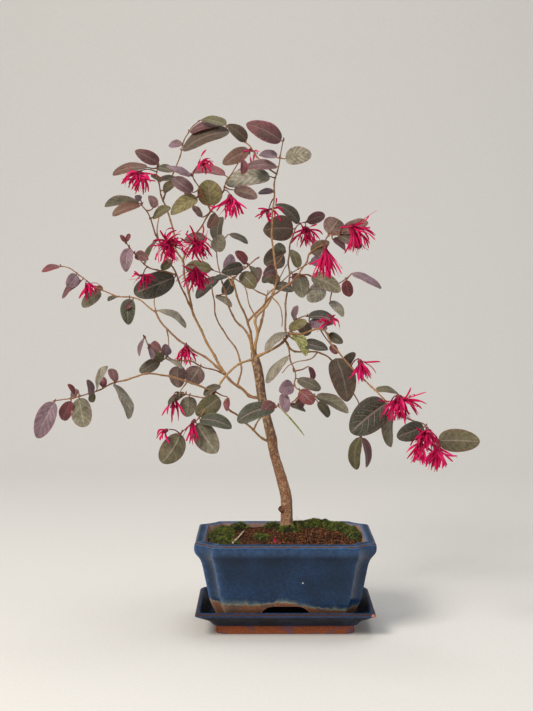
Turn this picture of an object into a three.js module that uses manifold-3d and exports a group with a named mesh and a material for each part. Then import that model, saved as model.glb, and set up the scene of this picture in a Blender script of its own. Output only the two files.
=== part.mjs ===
// A chinese fringe flower bonsai in its glazed pot, on its glazed saucer.
// Millimetres, +Z up, origin on the table under the middle of the saucer, -Y towards the viewer.
import * as THREE from "three";
import { mergeVertices } from "three/addons/utils/BufferGeometryUtils.js";
import Module from "manifold-3d";

const wasm = await Module();
wasm.setup();

// Driving dimensions of the pot and the saucer.
const RIM_HALF_WIDTH = 77.5;
const RIM_HALF_DEPTH = 60;
const RIM_TOP = 77;
const RIM_CORNER = 16;
const BODY_CORNER = 10;
const WALL = 9;
const POT_FOOT_HALF_WIDTH = 58;
const POT_FOOT_HALF_DEPTH = 40.5;
const POT_UNDERSIDE = 23.5;
const POT_FLOOR = 29;
const POT_FOOT_THICKNESS = 9;
const FRONT_GAP = [18, 14];
const SIDE_GAP = [12, 9];
const DRAIN_HOLE_X = 34;
const DRAIN_HOLE_RADIUS = 7;
const SCREEN_SIZE = 22;
const SCREEN_THICKNESS = 1;
const SAUCER_HALF_WIDTH = 76.5;
const SAUCER_HALF_DEPTH = 52.5;
const SAUCER_TOP = 17.5;
const SAUCER_CORNER = 3.5;
const SAUCER_FLOOR = 10;
const SAUCER_FOOT_TOP = 3.8;
// Heights are drawn from a level this far above the table, and each solid is lifted by it.
const TABLE_DROP = 2.6;
const SOIL_FOOT_HALF_WIDTH = 57;
const SOIL_FOOT_HALF_DEPTH = 39.5;
const SOIL_EDGE = 70;
const SOIL_CROWN = 78;
const MOSS_HEIGHT = 7;

// Outer face of the pot from its foot to its rim: [half width, corner cut, height].
const POT_PROFILE = [
  [58, 9, 10.3], [60.7, 9.5, 17.5], [63.5, 10, 23.4], [65.5, 10.5, 30], [68.7, 11, 48],
  [70.7, 11.5, 58], [72.4, 12, 62.5], [75.2, 14, 66.2], [77.4, RIM_CORNER, 67.3],
  [77.5, RIM_CORNER, 75], [76, RIM_CORNER, 76.3], [72.5, 14, RIM_TOP],
];

// Hollows of the pot and the skin of the saucer: [half width, half depth, corner cut, height].
const POT_HOLLOW = [
  [SOIL_FOOT_HALF_WIDTH, SOIL_FOOT_HALF_DEPTH, BODY_CORNER, POT_FLOOR],
  [RIM_HALF_WIDTH - WALL, RIM_HALF_DEPTH - WALL, RIM_CORNER - 4, RIM_TOP + 1],
];
const POT_UNDER = [
  [POT_FOOT_HALF_WIDTH - POT_FOOT_THICKNESS, POT_FOOT_HALF_DEPTH - POT_FOOT_THICKNESS, 6,
    SAUCER_FLOOR],
  [51, 33.5, 6, POT_UNDERSIDE],
];
const SAUCER_FOOT = [
  [59.5, 37, 4, -TABLE_DROP],
  [59.5, 37, 4, SAUCER_FOOT_TOP + 1],
];
const SAUCER_BODY = [
  [61.5, 39.5, 5, SAUCER_FOOT_TOP],
  [65.6, 45.5, 5, SAUCER_FLOOR + 0.2],
  [SAUCER_HALF_WIDTH - 0.8, SAUCER_HALF_DEPTH - 0.8, SAUCER_CORNER, SAUCER_TOP - 3.2],
  [SAUCER_HALF_WIDTH, SAUCER_HALF_DEPTH, SAUCER_CORNER, SAUCER_TOP - 2.6],
  [SAUCER_HALF_WIDTH, SAUCER_HALF_DEPTH, SAUCER_CORNER, SAUCER_TOP - 0.8],
  [SAUCER_HALF_WIDTH - 0.8, SAUCER_HALF_DEPTH - 0.8, SAUCER_CORNER, SAUCER_TOP],
];
const SAUCER_HOLLOW = [
  [63.2, 42.5, 6, SAUCER_FLOOR],
  [SAUCER_HALF_WIDTH - 4, SAUCER_HALF_DEPTH - 4, SAUCER_CORNER, SAUCER_TOP + 0.5],
];

// Shares of the corner cut, from the side face round to the front face.
const CORNER_CUT = [[0, 1], [0.42, 0.77], [0.77, 0.42], [1, 0]];

// Moss cushions: middle [x, y], half width, half depth, height of the top.
const MOSS = {
  moss_left: [-51, 6, 14, 30, 77.5],
  moss_back_right: [29, 34, 33, 12, 79],
  moss_by_trunk: [3, -1, 13, 12, 81],
};
const FALLEN_TWIG = [[-44.5, -36, 75], [-41, -24, 77], [-38.5, -12, 78], [-36, 0, 79.2]];
const FALLEN_TWIG_RADIUS = 0.9;

// Everything that touches keeps this clearance, and no step on a surface is finer than this.
const GAP = 0.3;
const SMALLEST_DETAIL = 0.08;

// The tree is drawn as it looks from one viewing point: a pair [across, up] lies on the
// upright plane through the trunk, and a depth moves it along the line of sight.
const EYE = new THREE.Vector3(-16, -1200, 303.5);
const TRUNK_DEPTH = 15;

const LEAF_THICKNESS = 0.8;
const PETIOLE_RADIUS = 0.55;
const SHOOT_RADIUS = 0.9;
const SHOOT_TIP_RADIUS = 0.7;
const LEAF_BREADTH = 0.52;
const LEAF_FOLD = 0.22;
const LEAF_ARCH = 0.07;
// Leaf blade from base to tip: [share of the length, share of the full width].
const LEAF_STATIONS = [[0, 0.3], [0.3, 0.95], [0.65, 0.86], [1, 0.1]];
const SMALL_LEAF_STATIONS = [[0, 0.4], [0.45, 1], [1, 0.12]];
const SMALL_LEAF = 27;

const STRAP_LENGTH = 17;
const STRAP_THICKNESS = 0.7;
const STRAP_WIDTH = 1.7;
const STRAP_SAG = 0.35;
const STRAP_SHARES = [0.07, 0.55, 1];
const STRAP_RISES = [-0.9, 0.5, -0.3, 0.95];
const CALYX_RADIUS = 2.3;

const COLOURS = {
  glaze: [0x2f4f7d, 0.22],
  saucerGlaze: [0x1b2330, 0.25],
  screen: [0x23272a, 0.6],
  soil: [0x5a3022, 0.95],
  moss: [0x55681f, 0.95],
  twig: [0xb39a78, 0.85],
  bark: [0x8d6a52, 0.85],
  leaf: [0x5c3f42, 0.6],
  flower: [0xd5104f, 0.55],
};

// Trunk: [across, up, depth, radius] from the roots to the pruned top.
const TRUNK = [
  [2, 46, 15, 3],
  [2, 62, 15, 6],
  [2, 74, 15, 8.2],
  [1.9, 79, 15, 6.8],
  [1.9, 86, 15, 5.6],
  [1.6, 104.4, 15, 5.1],
  [-3.8, 126.2, 14.5, 4.6],
  [-9.9, 147.6, 14, 4.2],
  [-11.2, 156.5, 14, 4.6],
  [-14.7, 171.6, 13.5, 4.1],
  [-20, 193.9, 13, 4],
  [-23.6, 218.8, 12.5, 4.2],
  [-26.5, 231, 12, 3.4],
  [-28, 236, 12, 1.6],
];
const STUB = [[-1, 95], [-5.4, 97]];
const STUB_RADII = [2.4, 1.9];

// Woody limbs: the piece each leaves, its radii, the depth of its end and its route.
// A branch is a second arm of the same piece.
const LIMBS = {
  limb_left: { on: "trunk", radii: [1.8, 1.5], reach: 22, route: [
    [-21.8, 193.9], [-30.3, 195.6], [-37, 201.2], [-43.9, 205.7], [-53.3, 215.7]],
  branch: { radii: [1.1, 0.8], reach: 74, route: [
    [-42, 204.5], [-38.5, 218], [-40.8, 232.1], [-52.1, 250.3], [-57.8, 258.8], [-61.5, 269],
    [-62.9, 282.6], [-65, 294]] } },
  limb_arch: { on: "trunk", radii: [1.5, 1.1], reach: -62, route: [
    [-26.3, 229.5], [-38.5, 224.8], [-47.6, 218.8], [-55.6, 209], [-60.5, 202.5], [-66, 201.2],
    [-75.8, 204.6], [-86.6, 208.6], [-102.5, 213.1], [-117.2, 215.4], [-128.6, 214.3],
    [-137.5, 211.2]] },
  limb_upper_left: { on: "limb_left", radii: [1.4, 1.1], reach: 62, route: [
    [-53.3, 215.7], [-66.3, 227], [-84.9, 238.9], [-96.3, 247.5], [-109.3, 260.5],
    [-114.4, 270.2]] },
  stem_left_tall: { on: "limb_left", radii: [1.6, 1], reach: 48, route: [
    [-53.3, 215.7], [-60.1, 227], [-67.5, 240.6], [-76.5, 258.8], [-82.4, 273], [-85.6, 290],
    [-88.3, 298], [-90.6, 315.5], [-96.3, 325.2], [-98.5, 339.4], [-100.8, 350.7],
    [-108, 369]] },
  stem_left_parallel: { on: "stem_left_tall", radii: [1.1, 0.9], reach: -8, route: [
    [-82.4, 273], [-87.7, 283.8], [-91, 290], [-95.7, 303], [-101.4, 313.2],
    [-112.1, 334.5]] },
  stem_left_branch: { on: "stem_left_tall", radii: [1.1, 0.9], reach: 5, route: [
    [-90.6, 315.5], [-87.2, 323.5], [-83.7, 331.4], [-76.4, 342.8], [-65.5, 360]] },
  stem_centre_left: { on: "trunk", radii: [1.5, 1.1], reach: 66, route: [
    [-27.5, 232.5], [-31.7, 248], [-36.2, 255.9], [-43.6, 262.8], [-48.8, 273.5],
    [-50.5, 279.8]] },
  stem_centre_fork: { on: "trunk", radii: [1.5, 1], reach: -34, route: [
    [-27, 231.5], [-30, 250.3], [-32.8, 262.1], [-40.2, 278.6], [-43.6, 290], [-46.5, 298]] },
  stem_centre_tall: { on: "trunk", radii: [1.7, 1], reach: 24, route: [
    [-26.3, 231.3], [-25.4, 243.5], [-24.3, 250.3], [-25.4, 265.1], [-19.2, 272.4],
    [-11.3, 283.8], [-7.1, 301], [-9.5, 320.6], [-11.2, 340.5], [-10.1, 363.2],
    [-9, 372.5]] },
  stem_right_upper: { on: "stem_centre_fork", radii: [1.2, 0.9], reach: -58, route: [
    [-32.8, 262.1], [-24.3, 270.2], [-10.7, 284.9], [4.9, 296.2], [12, 303.6],
    [20, 314.9]] },
  limb_right: { on: "trunk", radii: [1.7, 1.4], reach: 0, route: [
    [-25.4, 230.4], [-16.1, 234.4], [-5.3, 240.6], [4.9, 250.8]],
  branch: { radii: [1.2, 0.9], reach: 62, route: [
    [2, 247.5], [0.9, 258], [0.9, 270.2], [1.8, 284.3], [4.6, 300.7], [3.6, 314],
    [5.3, 332]] } },
  limb_right_long: { on: "limb_right", radii: [1.3, 1.1], reach: -52, route: [
    [4.9, 250.8], [14.5, 250.8], [23.6, 253.7], [32.9, 255.6], [42.5, 241.3], [57.3, 223.8],
    [76.6, 204.5]] },
  limb_right_lower: { on: "limb_right", radii: [1.2, 1], reach: 52, route: [
    [0, 246], [6, 237], [19.1, 234.8], [29.3, 234.8], [37.2, 231.5], [42.4, 226.5]] },
  limb_low_left: { on: "trunk", radii: [1.4, 1], reach: -20, route: [
    [-12, 154], [-21.2, 159.2], [-33.1, 170.6], [-42.7, 179.1], [-49.6, 184.2],
    [-52.1, 192.1]] },
  limb_back: { on: "trunk", radii: [1.6, 1.1], reach: 104, route: [
    [-27, 233], [-24, 250], [-19, 268], [-16, 285]] },
};

// Leafy shoots: the young end of a stem and its leaves. A leaf is
// [base across, base up, tip across, tip up, width as seen, depth of its tip from its base];
// a width under zero shows the leaf's underside to the viewer.
const SHOOTS = {
  shoot_top_left: { on: "stem_left_tall", reach: 74, route: [
    [-108, 369], [-103.7, 381.7], [-98.3, 395], [-92, 413], [-89.9, 421], [-84.5, 432],
    [-76.5, 440]],
  branch: { reach: 26, route: [
    [-108, 369], [-110, 376], [-112, 385], [-113.5, 392], [-113, 399.5]] },
  leaves: [
    [-91, 414, -49, 431, -14, 8], [-85, 431, -57, 437, 8, -9], [-91, 419, -102, 420, 8, 14],
    [-98, 395, -113, 399, 8, 12], [-112, 403, -133, 414, 12, -6], [-122, 399, -153, 393, 8, 5],
    [-108, 379, -96, 385, 9, -14], [-110, 387, -94, 389, -5, -16]] },
  shoot_left_shoulder: { on: "stem_left_branch", reach: -22, route: [
    [-65.5, 360], [-72.5, 374.6], [-77.9, 384.3], [-81.9, 391.5]], leaves: [
    [-81, 392, -105, 400, 6, -8], [-66, 365, -69, 388, 22, -5], [-82, 377, -99, 390, 12, 10],
    [-74, 355, -81, 365, -6, -10]] },
  shoot_inner_top: { on: "stem_left_branch", reach: -14, route: [
    [-65.5, 360], [-61, 367.4], [-54.7, 378], [-52, 386], [-47.6, 392.4],
    [-39.6, 406.6]], leaves: [
    [-53, 392, -82, 395, 8, 9], [-38, 407, -38, 393, 7, -10], [-45, 379, -24, 373, -11, -8]] },
  shoot_top_right: { on: "stem_centre_tall", reach: 12, route: [
    [-9, 372.5], [-8.4, 388.3], [-4.4, 403.6], [-2.1, 418.3], [-1, 424]],
  branch: { reach: 52, route: [
    [-6.9, 393], [-17.4, 401.3], [-24.9, 409.3], [-30.7, 417.7], [-36.2, 422.3],
    [-44, 429.7], [-51.2, 435]] },
  leaves: [
    [-3, 423, -34, 438, 17, -8], [1, 407, 23, 408, -16, 14], [-7, 408, -22, 411, 8, 14],
    [-6, 400, -34, 399, 9, -10], [-14, 392, -52, 384, -15, 6], [-10, 377, -23, 377, 6, 12],
    [-52, 437, -75, 441, 8, 10], [-34, 423, -51, 437, 12, -9], [-32, 415, -55, 402, 13, -8]] },
  shoot_left_wing: { on: "stem_left_parallel", reach: -40, route: [
    [-112.1, 334.5], [-114.4, 339.4], [-118.4, 350.2], [-122.9, 360.9],
    [-127.4, 366]], leaves: [
    [-129, 367, -160, 364, -8, 8], [-128, 365, -153, 356, 8, -6], [-117, 355, -101, 363, 8, -12],
    [-117, 363, -119, 374, 8, 12]] },
  shoot_left_curl: { on: "stem_left_parallel", reach: -34, route: [
    [-95.7, 303], [-103.7, 306], [-109.9, 306.9], [-119, 309.3], [-125.2, 313.1],
    [-132.2, 321.1], [-141, 331.8]], leaves: [
    [-139, 328, -141, 306, 11, -8], [-133, 323, -121, 317, 9, -12], [-124, 314, -113, 334, 4, 8],
    [-98, 301, -134, 287, 22, -8], [-110, 307, -101, 317, 8, 12]] },
  shoot_upper_left: { on: "limb_upper_left", reach: 96, route: [
    [-114.4, 270.2], [-121.2, 275.2], [-129.8, 281.5], [-136.6, 283.8], [-149.5, 284.4],
    [-160.8, 289.5], [-169.9, 293.5], [-183, 303.7], [-196.1, 311], [-204, 311.6]], leaves: [
    [-185, 304, -193, 292, 12, -12], [-181, 298, -198, 283, 6, 8], [-164, 289, -180, 275, -12, -8],
    [-147, 285, -157, 280, -4, 10], [-138, 282, -139, 259, 14, 6], [-112, 272, -87, 257, -7, 10]] },
  shoot_arch_tip: { on: "limb_arch", reach: -84, route: [
    [-137.5, 211.2], [-151.6, 207.2], [-164, 201.6], [-169.2, 199.3], [-179.3, 196.1],
    [-190.7, 193.6], [-204.3, 191.4]], leaves: [
    [-204, 190, -220, 158, 16, -6], [-190, 191, -197, 174, 11, 10], [-183, 195, -178, 168, -17, -8],
    [-172, 204, -174, 193, 6, -12], [-168, 201, -157, 222, -6, -10], [-162, 203, -163, 214, 7, 12],
    [-151, 208, -154, 220, 8, 14], [-151, 206, -139, 175, -8, -10]] },
  shoot_left_inner: { on: "limb_left", reach: -22, route: [
    [-51, 213.3], [-58, 217.5], [-70.8, 220.6], [-81.4, 225.9], [-100.8, 228.7], [-105.9, 232.2],
    [-116.1, 234.4], [-124.7, 248.2]], leaves: [
    [-110, 236, -119, 242, 10, 14], [-104, 231, -106, 242, 9, -12], [-109, 232, -119, 228, 8, -14],
    [-114, 230, -128, 216, 10, 8], [-74, 223, -85, 207, -18, -8], [-95, 222, -94, 203, -15, 8]] },
  shoot_low_left: { on: "limb_arch", reach: -50, route: [
    [-60.5, 202.5], [-67.2, 188.5], [-75.2, 177.3], [-80.5, 172.5], [-92.8, 162]],
  branch: { reach: 4, route: [
    [-60.5, 202.5], [-69.6, 194.4], [-77.5, 194.6], [-83.7, 196.3], [-94.8, 199]] },
  leaves: [
    [-60, 194, -78, 180, 14, -12], [-75, 175, -47, 167, 12, 8], [-78, 171, -60, 145, -20, -6],
    [-92, 163.5, -109, 136, -20, -8], [-85, 195, -87, 177, -15, 5], [-95, 199, -103, 187, 4, -12],
    [-88, 196, -101, 185, 4, 14]] },
  shoot_centre_left: { on: "stem_centre_left", reach: 92, route: [
    [-50.5, 279.8], [-53, 290], [-55.6, 296.2], [-57.4, 306], [-60.5, 321.2],
    [-59.5, 331]], leaves: [
    [-62, 325, -55, 339, -14, -10], [-60, 332, -56, 355, 12, 12], [-52, 303, -62, 299, 6, -14],
    [-58, 300, -79, 283, 11, 8], [-54, 290, -47, 274, -7, 10]] },
  shoot_centre_fork: { on: "stem_centre_fork", reach: -62, route: [
    [-46.5, 298], [-38.5, 307], [-30.5, 313.2], [-23.6, 318.5]], leaves: [
    [-39, 306, -26, 292, 13, -8], [-32, 313, -24, 300, -5, 8], [-37, 311, -56, 306, 11, -8],
    [-34, 314, -44, 324, 8, -12]] },
  shoot_centre_right: { on: "stem_centre_tall", reach: 46, route: [
    [-8.2, 310.5], [-3.3, 317.8], [0, 323]], leaves: [
    [-1, 324, -18, 313, 15, 10], [1, 325, -9, 329, -9, -12], [-8, 309, -19, 304, 10, -10]] },
  shoot_right_inner: { on: "limb_right", reach: 84, route: [
    [5.3, 332], [8.6, 340.5], [9.2, 344.5], [13, 348.5], [20, 350.5]], leaves: [
    [14, 349, -8, 366, 11, -6], [8, 345, -19, 342, 18, 10], [21, 351, 28, 362, 9, 12]] },
  shoot_right_crest: { on: "stem_right_upper", reach: -88, route: [
    [20, 314.9], [22.3, 321.8], [28.5, 327.5], [34.7, 331.4], [39.2, 338], [49, 340]], leaves: [
    [23, 323, 34, 332, 9, 14], [39, 340, 48, 353, -18, -10], [51, 341, 74, 351, 10, 8],
    [48, 338, 68, 327, 9, -8], [43, 335, 54, 324, 6, 12]] },
  shoot_right_middle: { on: "stem_right_upper", reach: -14, route: [
    [12, 303.6], [22, 303], [33, 297], [46, 295], [55, 300]], leaves: [
    [23, 303, 50, 289, -14, -8], [61, 305, 86, 291, 7, -8], [55, 299, 58, 284, 10, 12],
    [34, 295, 21, 280, -15, -10], [13, 301, 16, 283, -15, 10], [44, 293, 52, 266, -8, 8]] },
  shoot_right_cluster: { on: "limb_right", reach: 22, route: [
    [3.5, 249.5], [6.5, 257], [10, 263], [18.3, 266.9], [27.2, 265.1]], leaves: [
    [8, 252, 19, 231, 10, -12], [2, 252, -17, 235, -7, -14], [20, 267, 47, 262, 8, 10],
    [12, 262, 22, 250, 12, 12], [27, 263, 44, 260, 8, -10], [8, 264, 12, 276, 6, -8]] },
  shoot_right_hanging: { on: "limb_right", reach: -34, route: [
    [0.5, 246.5], [3.5, 238], [5.4, 228], [10, 211.7], [9, 205.4], [16, 199],
    [26, 196]], leaves: [
    [5, 206, 0, 181, 11, -10], [13, 202, 26, 189, 12, -8], [12, 211, 32, 201, 10, 10],
    [3, 232, -16, 201, -6, 8], [28, 195, 57, 181, -10, -8]] },
  shoot_right_lower: { on: "limb_right_lower", reach: 84, route: [
    [42.4, 226.5], [49.1, 214.5], [54.5, 206.7], [61.3, 197.6], [65.9, 190.2], [68.1, 174.3],
    [68.1, 160.1]], leaves: [
    [48, 222, 55, 189, 21, 12], [50, 218, 63, 234, 9, -8], [67, 159, 64, 130, 12, -6],
    [69, 158, 73, 132, 7, 8]] },
  shoot_right_tip: { on: "limb_right_long", reach: -92, route: [
    [76.6, 204.5], [88.6, 193.1], [95.7, 186.8], [106.3, 177.4], [115, 173.7], [125, 169.3],
    [127.5, 161.8], [134.8, 156.3]], leaves: [
    [91, 188.5, 61, 162, 20, -7], [81, 202, 102, 197, 5, 10], [124, 168, 100, 159, 15, -10],
    [137, 156, 174, 155, -19, 4], [96, 185, 95, 150, -9, 8]] },
  shoot_low_right: { on: "limb_low_left", reach: -24, route: [
    [-27, 165.8], [-22.3, 175.1], [-9.8, 184.2], [0.4, 190.1]], leaves: [
    [-8, 187, -41, 177, -11, -8], [-14, 183, -19, 172, 8, -10], [1, 188, 18, 159, 3, -6]] },
  shoot_back_right: { on: "limb_back", reach: 138, route: [
    [-16, 285], [-4, 296], [8, 306], [22, 314]], leaves: [
    [-4, 297, -18, 306, 12, 12], [6, 305, 20, 296, 12, 14], [12, 309, 6, 326, 10, 10],
    [22, 314, 44, 318, 12, 12]] },
  shoot_back_left: { on: "limb_back", reach: 132, route: [
    [-16, 285], [-30, 292], [-48, 302], [-64, 308]], leaves: [
    [-30, 293, -22, 310, 12, 14], [-46, 301, -54, 286, 12, 10], [-50, 304, -48, 322, 12, 14],
    [-65, 308, -88, 310, 14, 10]] },
};

// Flowers: where each hangs, on which shoot or limb, and how many straps it holds.
const FLOWERS = {
  flower_crest_left: { on: "shoot_top_left", at: [-128, 392], straps: 8, lean: -6 },
  flower_top_centre: { on: "shoot_inner_top", at: [-49, 374], straps: 8, lean: -14 },
  flower_left_shoulder: { on: "stem_left_parallel", at: [-107, 333], straps: 8, lean: -12 },
  flower_left_middle: { on: "stem_left_tall", at: [-80, 331], straps: 7, lean: -18 },
  flower_left_inner: { on: "stem_left_tall", at: [-80, 313], straps: 8, lean: -18 },
  flower_far_left: { on: "shoot_upper_left", at: [-176, 296], straps: 6, lean: -12 },
  flower_left_low: { on: "limb_upper_left", at: [-88, 237], straps: 6, lean: -10 },
  flower_right_crest: { on: "shoot_right_crest", at: [56, 346], straps: 8, lean: -12 },
  flower_right_middle: { on: "shoot_right_crest", at: [33, 322], straps: 8, lean: -12 },
  flower_right_hanging: { on: "limb_right_long", at: [68, 222], straps: 8, lean: -8 },
  flower_right_large: { on: "shoot_right_tip", at: [101, 190], straps: 9, lean: -10 },
  flower_right_tip: { on: "shoot_right_tip", at: [130, 166], straps: 8, lean: -10 },
};

// Puts a point of the drawing at a depth, along the line of sight.
function place([across, up], depth) {
  const onPlane = new THREE.Vector3(across, TRUNK_DEPTH, up).sub(EYE);
  return onPlane.multiplyScalar((depth - EYE.y) / (TRUNK_DEPTH - EYE.y)).add(EYE);
}

// A closed geometry as a solid.
function solid(geometry) {
  const bare = geometry.clone();
  bare.deleteAttribute("normal");
  bare.deleteAttribute("uv");
  const merged = mergeVertices(bare, 1e-4);
  return new wasm.Manifold(new wasm.Mesh({
    numProp: 3,
    vertProperties: merged.attributes.position.array,
    triVerts: new Uint32Array(merged.index.array),
  }));
}

function geometryOf(body) {
  const mesh = body.getMesh();
  const geometry = new THREE.BufferGeometry();
  geometry.setAttribute("position", new THREE.BufferAttribute(mesh.vertProperties, 3));
  geometry.setIndex(new THREE.BufferAttribute(mesh.triVerts, 1));
  return geometry;
}

// Joins rings of equal length into a skin, with a cap at each end.
function loft(rings) {
  const sides = rings[0].length;
  const points = rings.flat();
  const faces = [];
  for (let r = 0; r + 1 < rings.length; r++) {
    for (let s = 0; s < sides; s++) {
      const a = r * sides + s;
      const b = r * sides + ((s + 1) % sides);
      faces.push(a, b, b + sides, a, b + sides, a + sides);
    }
  }
  const caps = [[rings[0], 0, true], [rings.at(-1), (rings.length - 1) * sides, false]];
  for (const [ring, start, first] of caps) {
    const middle = points.length;
    points.push(ring.reduce((sum, p) => sum.add(p), new THREE.Vector3()).divideScalar(sides));
    for (let s = 0; s < sides; s++) {
      const a = start + s;
      const b = start + ((s + 1) % sides);
      faces.push(...(first ? [b, a, middle] : [a, b, middle]));
    }
  }
  const geometry = new THREE.BufferGeometry().setFromPoints(points);
  geometry.setIndex(faces);
  return geometry;
}

// Tube through points with a radius at each; sections turn with the line.
function tube(points, radii, sides) {
  const rings = points.map((point, i) => {
    const before = points[Math.max(i - 1, 0)];
    const after = points[Math.min(i + 1, points.length - 1)];
    const along = after.clone().sub(before).normalize();
    const side = new THREE.Vector3(0, -1, 0).cross(along);
    if (side.lengthSq() < 0.01) side.set(1, 0, 0);
    side.normalize();
    const other = along.clone().cross(side);
    return Array.from({ length: sides }, (_, k) => {
      const angle = (2 * Math.PI * k) / sides;
      return point.clone()
        .addScaledVector(side, radii[i] * Math.cos(angle))
        .addScaledVector(other, radii[i] * Math.sin(angle));
    });
  });
  return solid(loft(rings));
}

// Level outline of a rectangle whose corners are cut in, anticlockwise.
function outline(halfWidth, halfDepth, corner, z) {
  const first = CORNER_CUT.map(([x, y]) => [halfWidth - x * corner, halfDepth - y * corner]);
  const second = [...first].reverse();
  return [
    ...first,
    ...second.map(([x, y]) => [-x, y]),
    ...first.map(([x, y]) => [-x, -y]),
    ...second.map(([x, y]) => [x, -y]),
  ].map(([x, y]) => new THREE.Vector3(x, y, z));
}

// Stack of outlines, each [half width, half depth, corner, height].
function stack(levels) {
  return solid(loft(levels.map((level) => outline(...level))));
}

// Bar through the whole foot ring, wider at the bottom than at the top, along Y or along X.
function wedge([halfBottom, halfTop], alongX) {
  const reach = RIM_HALF_WIDTH;
  const ring = (half, z) => [[half, reach], [-half, reach], [-half, -reach], [half, -reach]]
    .map(([x, y]) => (alongX ? new THREE.Vector3(-y, x, z) : new THREE.Vector3(x, y, z)));
  return solid(loft([ring(halfBottom, SAUCER_FLOOR), ring(halfTop, POT_UNDERSIDE)]));
}

function buildSaucer() {
  return stack(SAUCER_BODY).add(stack(SAUCER_FOOT)).subtract(stack(SAUCER_HOLLOW));
}

function buildPot() {
  const inset = RIM_HALF_WIDTH - RIM_HALF_DEPTH;
  const outside = stack(POT_PROFILE.map(([half, corner, z]) => [half, half - inset, corner, z]));
  let pot = outside.subtract(stack(POT_HOLLOW)).subtract(stack(POT_UNDER))
    .subtract(wedge(FRONT_GAP, false)).subtract(wedge(SIDE_GAP, true));
  for (const x of [-DRAIN_HOLE_X, DRAIN_HOLE_X]) {
    const depth = 2 * (POT_FLOOR - POT_UNDERSIDE);
    const hole = new THREE.CylinderGeometry(DRAIN_HOLE_RADIUS, DRAIN_HOLE_RADIUS, depth, 16);
    hole.rotateX(Math.PI / 2);
    hole.translate(x, 0, (POT_UNDERSIDE + POT_FLOOR) / 2);
    pot = pot.subtract(solid(hole));
  }
  return pot;
}

function buildScreen(x, grow) {
  const half = SCREEN_SIZE / 2 + grow;
  const bottom = POT_FLOOR + GAP - grow;
  const geometry = new THREE.BoxGeometry(2 * half, 2 * half, SCREEN_THICKNESS + 2 * grow);
  geometry.translate(x, 0, bottom + SCREEN_THICKNESS / 2 + grow);
  return solid(geometry);
}

function buildSoil(grow) {
  const lift = POT_FLOOR + GAP;
  const spread = (RIM_HALF_WIDTH - WALL - SOIL_FOOT_HALF_WIDTH) / (RIM_TOP + 1 - POT_FLOOR);
  const edgeWidth = SOIL_FOOT_HALF_WIDTH + spread * (SOIL_EDGE - POT_FLOOR) - 2 * GAP;
  const edgeDepth = edgeWidth - SOIL_FOOT_HALF_WIDTH + SOIL_FOOT_HALF_DEPTH;
  const corner = RIM_CORNER - 1;
  const ring = (share, z) => [edgeWidth * share, edgeDepth * share, corner * share, z + grow];
  return stack([
    [SOIL_FOOT_HALF_WIDTH - 2 * GAP, SOIL_FOOT_HALF_DEPTH - 2 * GAP, BODY_CORNER, lift],
    ring(1, SOIL_EDGE), ring(0.8, SOIL_EDGE + 4), ring(0.5, SOIL_CROWN - 2), ring(0.2, SOIL_CROWN),
  ]);
}

// Low cushion lying on the soil: middle, half sizes and height of its top.
function buildMoss([x, y, halfWidth, halfDepth, top], grow) {
  const geometry = new THREE.SphereGeometry(1, 10, 7);
  geometry.rotateX(Math.PI / 2);
  geometry.scale(halfWidth + grow, halfDepth + grow, MOSS_HEIGHT + grow);
  geometry.translate(x, y, top - MOSS_HEIGHT);
  return solid(geometry);
}

function buildTrunk(grow) {
  const points = TRUNK.map(([across, up, depth]) => place([across, up], depth));
  const radii = TRUNK.map((row) => row[3] + grow);
  const stub = STUB.map((point, i) => place(point, TRUNK_DEPTH - 3 * i));
  return tube(points, radii, 12).add(tube(stub, STUB_RADII.map((r) => r + grow), 8));
}

// Line of a limb or shoot: its depth runs evenly from that of its parent to its own reach.
function lineOf({ route, reach }, startDepth) {
  const lengths = [0];
  for (let i = 1; i < route.length; i++) {
    const [dx, dz] = [route[i][0] - route[i - 1][0], route[i][1] - route[i - 1][1]];
    lengths.push(lengths.at(-1) + Math.hypot(dx, dz));
  }
  return route.map((point, i) => {
    const depth = startDepth + ((reach - startDepth) * lengths[i]) / lengths.at(-1);
    return { drawn: point, depth, point: place(point, depth) };
  });
}

// Depth of the lines at the place nearest to a drawn point, and that place.
function nearest(lines, [across, up]) {
  let best = { distance: Infinity };
  for (const line of lines) {
    for (let i = 1; i < line.length; i++) {
      const [a, b] = [line[i - 1], line[i]];
      const [dx, dz] = [b.drawn[0] - a.drawn[0], b.drawn[1] - a.drawn[1]];
      const along = (across - a.drawn[0]) * dx + (up - a.drawn[1]) * dz;
      const share = Math.min(1, Math.max(0, along / (dx * dx + dz * dz)));
      const distance = Math.hypot(a.drawn[0] + share * dx - across, a.drawn[1] + share * dz - up);
      if (distance < best.distance) {
        best = {
          distance,
          depth: a.depth + share * (b.depth - a.depth),
          point: a.point.clone().lerp(b.point, share),
        };
      }
    }
  }
  return best;
}

// Round stem along a line, tapering from one radius to the other.
function stem(line, [thick, thin], sides, grow) {
  const steps = Math.max(2, line.length - 1);
  const curve = new THREE.CatmullRomCurve3(line.map((p) => p.point), false, "centripetal");
  const points = curve.getPoints(steps);
  const radii = points.map((_, i) => thick + ((thin - thick) * i) / steps + grow);
  return tube(points, radii, sides);
}

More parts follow.
